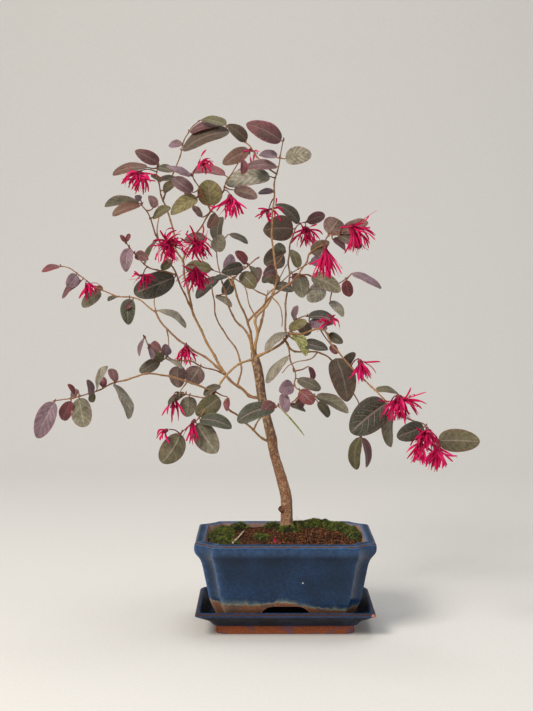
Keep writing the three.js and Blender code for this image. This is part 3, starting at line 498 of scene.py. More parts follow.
# Right half of each gap as (across, height), and how far its cutter reaches from the middle.
FRONT_GAP = [(22, 9.3), (19.2, 18.4), (16.4, 20.9), (13.6, 22.3), (10.5, 22.9)]
FRONT_GAP_REACH = 70
SIDE_GAP = [(14, 9.3), (12, 18.4), (10.2, 20.9), (8.4, 22.3), (6.4, 22.9)]
SIDE_GAP_REACH = 80
DRAIN_X = 34
DRAIN_RADIUS = 7
DRAIN_CUT = (20, 32)
DRAIN_FLOOR = 27
HOLE_SIDES = 28
# A fixed seed makes the warp the same each time the script runs.
noise.seed_set(WARP_SEED)
glazed_saucer = glazed_piece("glazed_saucer", SAUCER_LEVELS, SAUCER_FINISH,
                             lambda x, y: SAUCER_GLAZE_LINE, hollow=False)
glazed_pot = glazed_piece(
    "glazed_pot",
    [(w, w - POT_DEPTH_LESS, c, z, thin, bare) for w, c, z, thin, bare in POT_LEVELS],
    POT_FINISH, glaze_line, hollow=True)
cut(glazed_pot, [gap_cutter("front_gap", FRONT_GAP, FRONT_GAP_REACH, False),
                 gap_cutter("side_gap", SIDE_GAP, SIDE_GAP_REACH, True),
                 hole_cutter("left_drain", -DRAIN_X, DRAIN_RADIUS, *DRAIN_CUT),
                 hole_cutter("right_drain", DRAIN_X, DRAIN_RADIUS, *DRAIN_CUT)])
mark_cuts(glazed_pot, glaze_line, DRAIN_FLOOR)
for point, mark in zip(glazed_saucer.data.vertices, glazed_saucer.data.attributes["mark"].data):
    if (point.co / MM - Vector(RIM_CHIP)).length < RIM_CHIP_WIDTH:
        mark.vector = CHIP_MARK
SHARP_TURN = math.radians(42)
for stoneware in (glazed_saucer, glazed_pot):
    stoneware.data.set_sharp_from_angle(angle=SHARP_TURN)
total = settle(glazed_saucer, "saucer_glaze", "saucer")
total += settle(glazed_pot, "pot_glaze", "pot")


# %% [markdown]
# Over each drain hole lies a square of moulded plastic mesh, which lets water out and holds the soil
# back. It is a grid of round bars, so it is made as bars and not as a plate with a pattern on it.
# Polythene has a dull, slightly waxy black, with fine scuffs from the soil.

# %% Drain meshes
MESH_SIZE = 22
MESH_PITCH = 2
MESH_BAR = 0.32
MESH_BAR_SIDES = 6
# Height of the bars that lie along the pot, and of those that cross them.
MESH_LIFTS = {True: 29.65, False: 29.95}

drain_plastic, node = start_material("black moulded polythene mesh")
where = node("TexCoord", out="Object")
scuffs = node("TexNoise", {"Vector": where, "Scale": repeats(0.7), "Detail": 4}, "Fac")
plastic = node("ValToRGB", {0: scuffs}, stops=[(0.4, "#17191a"), (0.62, "#24282a")])
waxy = node("MapRange", {0: scuffs, 1: 0.35, 2: 0.65, 3: 0.45, 4: 0.65})
node("OutputMaterial", {"Surface": node("BsdfPrincipled", {
    "Base Color": plastic, "Roughness": waxy, "IOR": 1.51})})


def mesh_bar(middle_x, offset, lengthwise):
    """One round bar of the grid, along X or along Y."""
    rings = []
    for far in (-MESH_SIZE / 2, MESH_SIZE / 2):
        ring = []
        for step in range(MESH_BAR_SIDES):
            turn = FULL_TURN * step / MESH_BAR_SIDES
            aside = offset + MESH_BAR * math.cos(turn)
            z = MESH_LIFTS[lengthwise] + MESH_BAR * math.sin(turn)
            ring.append((middle_x + far, aside, z) if lengthwise else (middle_x + aside, far, z))
        rings.append(ring if lengthwise else ring[::-1])
    return ring_skin(rings)


for side_name, middle_x in (("left", -DRAIN_X), ("right", DRAIN_X)):
    grid = Piece(f"drain_grid_{side_name}")
    for k in range(MESH_SIZE // MESH_PITCH + 1):
        for lengthwise in (True, False):
            grid.add(*mesh_bar(middle_x, k * MESH_PITCH - MESH_SIZE / 2, lengthwise))
    total += settle(grid.build([drain_plastic]), "drain_mesh", f"drain_screen_{side_name}")


# %% [markdown]
# Bonsai soil is fired clay broken to crumbs of 1 to 3 mm, reddish brown, with some orange and some
# nearly black where it is wet. The mound is one closed skin, and each crumb on it is an icosahedron
# whose corners are moved at random, so that they cast shadows on each other as real crumbs do. The
# eye gets a dry, rough surface with no gloss at all.

# %% Soil
# Half width, half depth, corner and height, at the pot's floor and at the edge of the mound, and
# how far below that edge and in from it the side starts.
SOIL_BASE = (56.4, 38.9, 10, 29.3)
SOIL_EDGE = (66, 48.5, 13, 72)
SOIL_SIDE = (8, 2.4)
SOIL_CROWN = 78
SOIL_SQUARENESS = 3
SOIL_SHOULDER = 2.6
SOIL_BUMP_WIDTH = 9
SOIL_BUMP = 0.9
SOIL_SINK = 0.5
SOIL_RINGS = 26
CRUMBS = 7600
# Crumbs keep clear of the wall and of its corners, and lie half sunk in the mound.
CRUMB_MARGIN = 1.5
CRUMB_CORNER_SHARE = 1.62
CRUMB_RISE = (-0.1, 0.45)
CRUMB_RADII = (0.4, 1.4)
CRUMB_USUAL_RADIUS = 0.55
CRUMB_FLATNESS = 0.75
CRUMB_ROUGHNESS = (0.72, 1.18)
CRUMB_TINTS = ["#322116", "#47301f", "#573a27", "#693f28", "#7d5030", "#221711", "#9c6841"]
FINE_SOIL_SIZE = 0.62
FINE_SOIL_END = -14

crumbly, node = start_material("fired clay bonsai soil")
where = node("TexCoord", out="Object")
tint = node("Attribute", attribute_name="tint", out="Color")
dust = node("TexNoise", {"Vector": where, "Scale": repeats(0.6), "Detail": 4}, "Fac")
shade = node("ValToRGB", {0: dust}, stops=[(0.35, "#9a9088"), (0.5, "#dcd4cc"), (0.7, "#ffffff")])
earth = node("Mix", {0: 1, 6: tint, 7: shade}, 2, **TINTING)
pits = node("Bump", {"Height": dust, "Strength": 0.8, "Distance": 0.3 * MM})
node("OutputMaterial", {"Surface": node("BsdfPrincipled", {
    "Base Color": earth, "Roughness": 0.97, "Specular IOR Level": 0.2, "Normal": pits})})


def soil_height(x, y):
    """Height of the mound at a place inside the pot."""
    half_width, half_depth, _, edge = SOIL_EDGE
    shares = abs(x / half_width), abs(y / half_depth)
    out = sum(share ** SOIL_SQUARENESS for share in shares) ** (1 / SOIL_SQUARENESS)
    bumps = noise.fractal(Vector((x, y, 3)) / SOIL_BUMP_WIDTH, 1, 2, 3) * SOIL_BUMP
    return SOIL_CROWN - (SOIL_CROWN - edge) * min(1, out) ** SOIL_SHOULDER + bumps - SOIL_SINK


# How far an icosahedron's corners are from its middle; neighbours are 2 apart.
ROUND_RADIUS = 1.9
NEIGHBOUR_REACH = 2.1


def icosahedron():
    """Twelve corners, and the 20 faces between neighbours."""
    golden = (1 + math.sqrt(5)) / 2
    corners = []
    for a, b in ((1, golden), (-1, golden), (1, -golden), (-1, -golden)):
        corners += [Vector((0, a, b)), Vector((a, b, 0)), Vector((b, 0, a))]
    faces = []
    for i in range(len(corners)):
        for j in range(i + 1, len(corners)):
            for k in range(j + 1, len(corners)):
                sides = [(corners[p] - corners[q]).length for p, q in ((i, j), (j, k), (i, k))]
                if max(sides) < NEIGHBOUR_REACH:
                    outward = (corners[j] - corners[i]).cross(corners[k] - corners[i])
                    faces.append((i, j, k) if outward.dot(corners[i]) > 0 else (i, k, j))
    return corners, faces


ROUND_CORNERS, ROUND_FACES = icosahedron()


def turned(draw):
    """A rotation drawn at random, as a matrix."""
    axis = Vector((draw.gauss(0, 1), draw.gauss(0, 1), draw.gauss(0, 1)))
    return axis.to_track_quat("Z", "Y").to_matrix()


draw = random.Random("soil")
soil = Piece("soil_mound")
half_width, half_depth, corner, edge = SOIL_EDGE
drop, inset = SOIL_SIDE
rings = [[(x, y, SOIL_BASE[3]) for x, y in outline(*SOIL_BASE[:3])],
         [(x, y, edge - drop) for x, y in outline(half_width - inset, half_depth - inset, corner)]]
for k in range(SOIL_RINGS):
    share = 1 - k / SOIL_RINGS
    ring = outline(half_width, half_depth, corner)
    rings.append([(x * share, y * share, soil_height(x * share, y * share)) for x, y in ring])
points, faces = ring_skin(rings)
brown = [colour(draw.choice(CRUMB_TINTS[:4])) for _ in points]
soil.add(points, faces, tint=brown)
for _ in range(CRUMBS):
    # Three numbers are drawn for each crumb, and the last two are its place.
    _, across, deep = draw.random(), draw.random(), draw.random()
    x = (across * 2 - 1) * (half_width - CRUMB_MARGIN)
    y = (deep * 2 - 1) * (half_depth - CRUMB_MARGIN)
    if abs(x) / half_width + abs(y) / half_depth > CRUMB_CORNER_SHARE:
        continue
    radius = draw.triangular(*CRUMB_RADII, CRUMB_USUAL_RADIUS)
    radius *= FINE_SOIL_SIZE if x < FINE_SOIL_END else 1
    middle = Vector((x, y, soil_height(x, y) + radius * draw.uniform(*CRUMB_RISE)))
    turn = turned(draw)
    scale = radius / ROUND_RADIUS
    corners = [middle + turn @ Vector((c.x, c.y, c.z * CRUMB_FLATNESS)) * scale
               * draw.uniform(*CRUMB_ROUGHNESS) for c in ROUND_CORNERS]
    soil.add(corners, ROUND_FACES, tint=colour(draw.choice(CRUMB_TINTS)))
total += settle(soil.build([crumbly], smooth=False), "soil", "soil")


# %% [markdown]
# Moss is a felt of tiny upright shoots, each a star of pointed leaves 1 to 3 mm long, growing in
# cushions on the damp soil. A bumpy closed cushion carries hundreds of such stars, each made of six
# thin three-sided spikes. Tips are yellow-green, partly their own colour and partly painted light, and
# the felt below is nearly black, partly its own colour and partly painted shade, so the tint of each
# star goes with its height. Stars in the gaps between clumps are painted darker still, as shade. The
# eye gets a soft, deep pile.

# %% Moss
# Middle, half sizes and top of each cushion, and how many stars grow on it.
MOSS = {
    "moss_left": [(-55, 6, 13, 35, 78, 1650), (-41, 31, 12, 11, 78.6, 420),
                  (-50, -29, 12, 10, 76.6, 330)],
    "moss_back_right": [(29, 37, 33, 10.5, 80.5, 1600), (50, 24, 15, 18, 79.6, 850),
                        (60, 2, 8, 20, 79.4, 460), (14, 25, 13, 9, 81, 450)],
    "moss_by_trunk": [(3, 4, 13, 8, 81, 560), (-9, 26, 10, 9, 80, 300),
                      (-20, -21, 8, 12, 76.8, 230)],
}
MOSS_FELT_AND_SHADE = colour("#1c260a")
MOSS_TIPS_AND_LIGHT = [colour(hex_value) for hex_value in ("#84982a", "#a8b43c", "#647c20", "#ccd05a")]
CUSHION_SIDES = 48
CUSHION_RINGS = 20
CUSHION_BUMP_WIDTH = 5
CUSHION_SHOULDER = 2.4
LEAST_CUSHION = 1.5
# Stars stand in clumps this wide; in the gaps between the clumps the stars are low and get painted
# shade.
CLUMP_WIDTH = 3.4
DEEPEST_STAR_SHADE = 0.85
STAR_HEIGHTS = (1, 2.7)
STAR_LEAN = 0.3
STAR_SPREAD = (0.25, 0.9)
SPIKES = 6
SPIKE_RADIUS = 0.3
# A seedling in the moss: where it stands, and how far its stalks reach.
SEEDLING_AT = (12, 16)
SEEDLING_TIPS = [(-3, -1, 9.5), (-1, 1, 12), (1.6, -1, 9.6), (3.4, 0, 7.2)]
SEEDLING_TINTS = [colour("#7c8040"), colour("#b09c58")]

mossy, node = start_material("living cushion moss")
tint = node("Attribute", attribute_name="tint", out="Color")
where = node("TexCoord", out="Object")
fleck = node("TexNoise", {"Vector": where, "Scale": repeats(1.2), "Detail": 3}, "Fac")
shade = node("ValToRGB", {0: fleck}, stops=[(0.35, "#a8a890"), (0.6, "#ffffff")])
green = node("Mix", {0: 1, 6: tint, 7: shade}, 2, **TINTING)
leafy = node("BsdfPrincipled", {"Base Color": green, "Roughness": 0.85,
                                "Specular IOR Level": 0.25, "Sheen Weight": 0.2})
through = node("BsdfTranslucent", {"Color": green})
node("OutputMaterial", {"Surface": node("MixShader", {0: 0.2, 1: leafy, 2: through})})


def mixed(first, second, share):
    """A colour part of the way from one to another."""
    return tuple(a + (b - a) * share for a, b in zip(first, second))


def spike(piece, foot, tip, radius, low, high):
    """Thin three-sided spike from foot to tip."""
    along = (tip - foot).normalized()
    side = along.orthogonal().normalized()
    other = along.cross(side)
    points = [foot + (side * math.cos(t) + other * math.sin(t)) * radius
              for t in (0, FULL_TURN / 3, 2 * FULL_TURN / 3)] + [tip]
    piece.add(points, [(0, 1, 3), (1, 2, 3), (2, 0, 3), (2, 1, 0)], tint=[low] * 3 + [high])


def cushion(piece, row, draw):
    """Bumpy dome with stars of spikes on it, lying on the soil."""
    x, y, half_width, half_depth, top, stars = row

    def surface(share, turn):
        px = x + half_width * share * math.cos(turn)
        py = y + half_depth * share * math.sin(turn)
        ragged = 1 + 0.3 * noise.noise(Vector((px, py, 0)) / CUSHION_BUMP_WIDTH)
        dome = max(0, 1 - (share * ragged) ** CUSHION_SHOULDER)
        bump = noise.fractal(Vector((px, py, 9)) / CUSHION_BUMP_WIDTH, 1, 2, 2) * 2
        ground = soil_height(px, py)
        return Vector((px, py, ground - 1 + (max(top - ground, LEAST_CUSHION) + 1 + bump) * dome))

    turns = [FULL_TURN * k / CUSHION_SIDES for k in range(CUSHION_SIDES)]
    shares = [1 - step / CUSHION_RINGS for step in range(CUSHION_RINGS)]
    # The outermost ring is sunk 2 mm into the soil.
    rings = [[surface(share, turn) - UP * (2 if share == 1 else 0) for turn in turns]
             for share in shares]
    # The cushion itself takes the dark felt colour, partly painted shade.
    piece.add(*ring_skin(rings), tint=MOSS_FELT_AND_SHADE)
    for _ in range(stars):
        share, turn = math.sqrt(draw.random()) * 0.97, FULL_TURN * draw.random()
        foot = surface(share, turn)
        clump = 0.3 - noise.noise(Vector((foot.x, foot.y, 2)) / CLUMP_WIDTH)
        high = draw.choice(MOSS_TIPS_AND_LIGHT)
        # Stars in the gaps between clumps are mixed towards the dark felt as painted shade.
        high = mixed(high, MOSS_FELT_AND_SHADE, min(DEEPEST_STAR_SHADE, max(0, clump + 0.3 * draw.random())))
        lean = Vector((draw.gauss(0, STAR_LEAN), draw.gauss(0, STAR_LEAN), 1)).normalized()
        height = draw.uniform(*STAR_HEIGHTS) * (1 - 0.4 * share) * (1.2 - 0.4 * clump)
        for k in range(SPIKES):
            around = FULL_TURN * (k + draw.random() * 0.5) / SPIKES
            out = Vector((math.cos(around), math.sin(around), 0)) * draw.uniform(*STAR_SPREAD)
            tip = foot + (lean + out).normalized() * height
            # Each spike runs from a dark foot, partly painted shade, to a tip of its star's colour.
            spike(piece, foot - lean * 0.4, tip, SPIKE_RADIUS, mixed(MOSS_FELT_AND_SHADE, high, 0.3), high)


for name, rows in MOSS.items():
    draw = random.Random(name)
    moss = Piece(name + "_stars")
    for row in rows:
        cushion(moss, row, draw)
    if name == "moss_back_right":
        root = Vector((*SEEDLING_AT, soil_height(*SEEDLING_AT)))
        for reach in SEEDLING_TIPS:
            spike(moss, root, root + Vector(reach), 0.5, *SEEDLING_TINTS)
    total += settle(moss.build([mossy], smooth=False), "moss", name)


# %% [markdown]
# All wood here is young: the trunk is only 10 mm thick. Its bark is grey-brown, with short cracks and
# dark specks that run across it, and still cream near the soil. The twigs have a thin tan bark, cracked
# lengthwise, with pale pores about 1 mm long, and turn reddish towards the tip. Bark follows the stem,
# so its pattern runs on the mark of each point, its place round and along the stem in millimetres.

# %% Bark
def bark(name, fissures, crack_run, crack_stops, pore_run, pore_hex, depth, roughness):
    """Bark on stems: a tint for each point, cracks and pores.

    A run under 1 draws them out along the stem, and one over 1 across it."""
    material, node = start_material(name)
    tint = node("Attribute", attribute_name="tint", out="Color")
    place = node("Attribute", attribute_name="mark", out="Vector")
    drawn_out = node("Mapping", {"Vector": place, "Scale": (1, 1, crack_run)})
    cracks = node("TexNoise", {"Vector": drawn_out, "Scale": 1 / fissures, "Detail": 5,
                               "Roughness": 0.65}, "Fac")
    shade = node("ValToRGB", {0: cracks}, stops=crack_stops)
    skin = node("Mix", {0: 1, 6: tint, 7: shade}, 2, **TINTING)
    scattered = node("Mapping", {"Vector": place, "Scale": (1, 1, pore_run)})
    cells = node("TexVoronoi", {"Vector": scattered, "Scale": 0.55}, "Distance")
    pores = node("MapRange", {0: cells, 1: 0.24, 2: 0.16, 3: 0, 4: 0.55})
    skin = node("Mix", {0: pores, 6: skin, 7: colour(pore_hex)}, 2, **COVERING)
    relief = node("Math", {0: pores, 1: 0.5, 2: cracks}, operation="MULTIPLY_ADD")
    bump = node("Bump", {"Height": relief, "Strength": 0.8, "Distance": depth * MM})
    node("OutputMaterial", {"Surface": node("BsdfPrincipled", {
        "Base Color": skin, "Roughness": roughness, "Specular IOR Level": 0.35,
        "Normal": bump})})
    return material


TWIG_BARK = bark("thin tan twig bark", 0.9, 0.22,
                 [(0.3, "#a08c7c"), (0.5, "#e6dcd2"), (0.7, "#ffffff")], 0.5, "#d9b48c", 0.18, 0.62)
TRUNK_BARK = bark("finely cracked trunk bark", 1.1, 1.7,
                  [(0.38, "#6c564c"), (0.46, "#cabcb0"), (0.56, "#ffffff")], 1.3, "#4a3026", 0.25, 0.75)


# %% [markdown]
# A stem starts as a few points of a drawn line. A smooth curve through them is walked in even
# steps, and a ring of points is set round each step. Each ring is turned as little as possible from
# the last one, so the skin doesn't wring. Young twigs swell a little where a leaf once grew, and bend
# there from side to side, which is what makes them look like wood and not like wire.

# %% Stems
def smooth_line(rows, spacing):
    """Even steps along a smooth curve through rows of numbers; the first three are a point."""
    rows = np.array(rows, dtype=float)
    gaps = np.linalg.norm(np.diff(rows[:, :3], axis=0), axis=1)
    slopes = np.diff(rows, axis=0) / gaps[:, None]
    middle = (slopes[:-1] * gaps[1:, None] + slopes[1:] * gaps[:-1, None])
    middle = middle / (gaps[:-1] + gaps[1:])[:, None]
    tangents = np.vstack([slopes[:1], middle, slopes[-1:]])
    line = [rows[0]]
    for i, gap in enumerate(gaps):
        steps = max(1, round(gap / spacing))
        for step in range(1, steps + 1):
            t = step / steps
            line.append((2 * t ** 3 - 3 * t ** 2 + 1) * rows[i]
                        + (t ** 3 - 2 * t ** 2 + t) * gap * tangents[i]
                        + (3 * t ** 2 - 2 * t ** 3) * rows[i + 1]
                        + (t ** 3 - t ** 2) * gap * tangents[i + 1])
    return np.array(line)


# Any direction that no stem follows, to set the first ring by.
FIRST_SIDE = (0.3, 0.9, 0.2)
# Two rings that close an end: how far out from it and how thick, in radii of the stem.
DOME = [(0.8, 0.35), (0.5, 0.8)]


def tube(line, radii, sides):
    """Skin round a line, and for each point its place round and along the stem."""
    line = np.asarray(line, dtype=float)
    radii = np.asarray(radii, dtype=float)
    if radii.ndim == 1:
        radii = np.repeat(radii[:, None], sides, axis=1)
    along = np.gradient(line, axis=0)
    along /= np.linalg.norm(along, axis=1)[:, None]
    side = np.cross(along[0], FIRST_SIDE)
    turns = FULL_TURN * np.arange(sides) / sides
    walked = 0.0
    rings, marks = [], []
    for i, middle in enumerate(line):
        side = side - along[i] * side.dot(along[i])
        side /= np.linalg.norm(side)
        other = np.cross(along[i], side)
        walked += np.linalg.norm(middle - line[i - 1]) if i else 0
        spokes = np.outer(np.cos(turns), side) + np.outer(np.sin(turns), other)
        rings.append([tuple(p) for p in middle + spokes * radii[i][:, None]])
        marks += [(r * math.cos(t), r * math.sin(t), walked) for r, t in zip(radii[i], turns)]
    points, faces = ring_skin(rings)
    return points, faces, marks


def round_ends(line, radii):
    """Adds two shrinking rings at each end, so that a stem ends in a dome."""
    first = (line[0] - line[1]) / np.linalg.norm(line[0] - line[1])
    last = (line[-1] - line[-2]) / np.linalg.norm(line[-1] - line[-2])
    before = [line[0] + first * radii[0] * out for out, _ in DOME]
    after = [line[-1] + last * radii[-1] * out for out, _ in DOME[::-1]]
    caps = [radii[0] * share for _, share in DOME], [radii[-1] * share for _, share in DOME[::-1]]
    return np.vstack([before, line, after]), np.concatenate([caps[0], radii, caps[1]])


TWIG_OLD = [colour(hex_value) for hex_value in ("#b48f61", "#a47f58", "#c09c6e")]
TWIG_YOUNG = colour("#8a5a44")
STEM_STEP = 1.6
STEM_SIDES = 12
STEM_SLIMNESS = 0.74
COLLAR_LENGTH = 3
# Joints: how far apart, how much that varies, how long and by how much each swells, and how long
# and how far the stem bends there.
JOINT_SPACING = 13
JOINT_SPREAD = (0.6, 1.4)
JOINT_LENGTH = 1.3
JOINT_SWELLING = (0.2, 0.4)
BEND_LENGTH = 5
BEND_REACH = 0.35
LUMPINESS = 0.06
PATCH_LENGTH = 12


def grow_stem(piece, line, thick, thin, draw, youth=(0, 0.3), finish=0, collar=0.5, base=None):
    """Tapering twig with swollen joints; youth is how young it is at its foot and at its end.

    The offset at the end keeps two twigs from having the same bark."""
    line = smooth_line(line, STEM_STEP)
    steps = np.concatenate([[0], np.cumsum(np.linalg.norm(np.diff(line, axis=0), axis=1))])
    share = steps / steps[-1]
    radii = (thick + (thin - thick) * share) * STEM_SLIMNESS
    radii *= 1 + collar * np.exp(-steps / COLLAR_LENGTH)
    sway = np.cross(line[-1] - line[0], (draw.random() - 0.5, 1, draw.random() - 0.5))
    sway /= max(1e-6, np.linalg.norm(sway))
    joint, way = draw.uniform(4, JOINT_SPACING), 1
    while joint < steps[-1] - 2:
        near = np.exp(-((steps - joint) / JOINT_LENGTH) ** 2)
        radii *= 1 + draw.uniform(*JOINT_SWELLING) * near
        line += np.outer(np.exp(-((steps - joint) / BEND_LENGTH) ** 2) * BEND_REACH * way, sway)
        joint, way = joint + draw.uniform(*JOINT_SPREAD) * JOINT_SPACING, -way
    radii *= np.array([1 + LUMPINESS * noise.noise(Vector(p) / 2.5) for p in line])
    line, radii = round_ends(line, radii)
    points, faces, marks = tube(line, radii, STEM_SIDES)
    base = base or draw.choice(TWIG_OLD)
    tints = []
    for i in range(len(line)):
        age = youth[0] + (youth[1] - youth[0]) * i / len(line)
        patch = 0.25 * noise.noise(Vector(line[i]) / PATCH_LENGTH)
        tints += [mixed(base, TWIG_YOUNG, min(1, max(0, age + patch)))] * STEM_SIDES
    offset = draw.uniform(0, 500)
    piece.add(points, faces, finish, tints, [(x, y, z + offset) for x, y, z in marks])


# %% [markdown]
# The tree is drawn as it looks from one viewing point. A pair (across, up) lies on the upright plane
# through the trunk, and a depth moves it along the line of sight, so a line can be given depth without
# changing how it looks from the front. Each limb starts on the limb that carries it, at that limb's
# depth, and its own depth then runs evenly to the reach of its end.

# %% Placing drawn lines in space
EYE = Vector((-16, -1200, 303.5))
TRUNK_DEPTH = 15


def place(drawn, depth):
    """Puts a drawn point at a depth, along the line of sight."""
    on_plane = Vector((drawn[0], TRUNK_DEPTH, drawn[1]))
    return EYE + (on_plane - EYE) * ((depth - EYE.y) / (TRUNK_DEPTH - EYE.y))


def line_of(route, reach, start_depth):
    """Rows of (drawn point, depth, point in space) along a route."""
    lengths = [0.0]
    for a, b in zip(route, route[1:]):
        lengths.append(lengths[-1] + math.dist(a, b))
    depths = [start_depth + (reach - start_depth) * s / lengths[-1] for s in lengths]
    return [(drawn, depth, place(drawn, depth)) for drawn, depth in zip(route, depths)]


def nearest(lines, drawn):
    """Distance, depth and point in space of the place on the lines nearest to a drawn point."""
    best = (math.inf, 0, None)
    for line in lines:
        for (a, depth_a, point_a), (b, depth_b, point_b) in zip(line, line[1:]):
            dx, dz = b[0] - a[0], b[1] - a[1]
            share = ((drawn[0] - a[0]) * dx + (drawn[1] - a[1]) * dz) / (dx * dx + dz * dz)
            share = min(1, max(0, share))
            distance = math.dist((a[0] + share * dx, a[1] + share * dz), drawn[:2])
            if distance < best[0]:
                depth = depth_a + share * (depth_b - depth_a)
                best = (distance, depth, point_a.lerp(point_b, share))
    return best


# %% [markdown]
# The trunk is drawn with a depth and a radius at each point. It flares where its roots leave it, in
# five low ribs, and has one stub where a low branch was pruned, with the cut face gone dark. Its
# colour goes from cream at the soil, through red-brown, to grey-brown above, with cream patches.

# %% Trunk
# Across, up, depth and radius, from the roots to the fork.
TRUNK = [
    (2, 62, 15, 6), (2, 74, 15, 6.6), (1.9, 79, 15, 5.8), (1.9, 86, 15, 5.4),
    (1.6, 104.4, 15, 5.1), (-3.8, 126.2, 14.5, 4.6), (-9.9, 147.6, 14, 4.2),
    (-11.2, 156.5, 14, 4.6), (-14.7, 171.6, 13.5, 4.1), (-20, 193.9, 13, 4),
    (-23.6, 218.8, 12.5, 4.2), (-26.5, 230, 12, 3.5), (-28, 235, 12, 2.2),
]
# The cut stub, as (across, up), depth and radius.
STUB = [((-0.6, 93.8), 14), ((-2.4, 94.8), 11.5), ((-3.6, 95.8), 10.4)]
STUB_RADII = (3.3, 2.9, 2.6)
STUB_SIDES = 20
STUB_STEP = 0.6
TRUNK_SIDES = 44
TRUNK_STEP = 1.1
SOIL_LEVEL = 77
ROOT_RIBS = 5
ROOT_RIB_DEPTH = 0.22
ROOT_HEIGHT = 4.5
# Above the soil, the bark is tan from the first height on, and turns grey between the other two.
TAN_HEIGHT = 9
GREY_HEIGHTS = (70, 95)
CREAM_MOST = 0.7
BARK_CREAM = colour("#d2b186")
BARK_TAN = colour("#ad7e63")
BARK_GREY = colour("#7c6252")
CUT_WOOD = colour("#6c4430")


def grow_trunk():
    """Trunk with root ribs, lumps and patches of cream, and the stub of a cut branch."""
    piece = Piece("trunk_wood")
    rows = [(*place((across, up), depth), radius) for across, up, depth, radius in TRUNK]
    line = smooth_line(rows, TRUNK_STEP)
    turns = FULL_TURN * np.arange(TRUNK_SIDES) / TRUNK_SIDES
    radii, tints = [], []
    for x, y, z, radius in line:
        flare = math.exp(-max(0, z - SOIL_LEVEL) / ROOT_HEIGHT)
        lobes = 1 + ROOT_RIB_DEPTH * flare * np.cos(ROOT_RIBS * turns + 0.6)
        lumps = [0.05 * noise.noise(Vector((math.cos(t) * 3, math.sin(t) * 3, z)) / 4)
                 + 0.025 * noise.noise(Vector((math.cos(t) * 3, math.sin(t) * 3, z * 1.1)))
                 for t in turns]
        radii.append(radius * lobes * (1 + np.array(lumps)))
        low = min(1, max(0, (z - SOIL_LEVEL) / TAN_HEIGHT))
        high = float(np.interp(z - SOIL_LEVEL, GREY_HEIGHTS, (0, 1)))
        shade = mixed(mixed(BARK_CREAM, BARK_TAN, low), BARK_GREY, high)
        patches = [0.5 + 0.9 * noise.noise(Vector((math.cos(t) * 1.8, math.sin(t) * 1.8, z / 2.6)))
                   for t in turns]
        tints += [mixed(shade, BARK_CREAM, min(CREAM_MOST, max(0, 1.8 * (patch - 0.42))))
                  for patch in patches]
    points, faces, marks = tube(line[:, :3], radii, TRUNK_SIDES)
    piece.add(points, faces, tint=tints, marks=marks)
    stub = smooth_line([place(drawn, depth) for drawn, depth in STUB], STUB_STEP)
    widths = np.interp(np.linspace(0, 2, len(stub)), (0, 1, 2), STUB_RADII)
    # Two rings more make the cut: a rounded edge, and a face that has dried a little hollow.
    widths = np.concatenate([widths, [STUB_RADII[-1] * 0.86, STUB_RADII[-1] * 0.5]])
    along = (stub[-1] - stub[-2]) / np.linalg.norm(stub[-1] - stub[-2])
    stub = np.vstack([stub, stub[-1] + along * 0.25, stub[-1] + along * 0.05])
    points, faces, marks = tube(stub, widths, STUB_SIDES)
    cut_points = 2 * STUB_SIDES
    tints = [BARK_TAN] * (len(points) - cut_points) + [CUT_WOOD] * cut_points
    piece.add(points, faces, tint=tints, marks=marks)
    return piece.build([TRUNK_BARK])


total += settle(grow_trunk(), "trunk_bark", "trunk")
lines_of = {"trunk": [[((across, up), depth, place((across, up), depth))
                       for across, up, depth, _ in TRUNK]]}
print("trunk from", [round(c) for c in lines_of["trunk"][0][0][2]], "to",
      [round(c) for c in lines_of["trunk"][0][-1][2]], "mm")


# %% [markdown]
# Eight limbs and seven upright stems branch from the trunk or from one another. Thin side twigs, too
# slight to be pieces of their own, belong to the limb that carries them. A pale fallen twig lies on
# the soil.

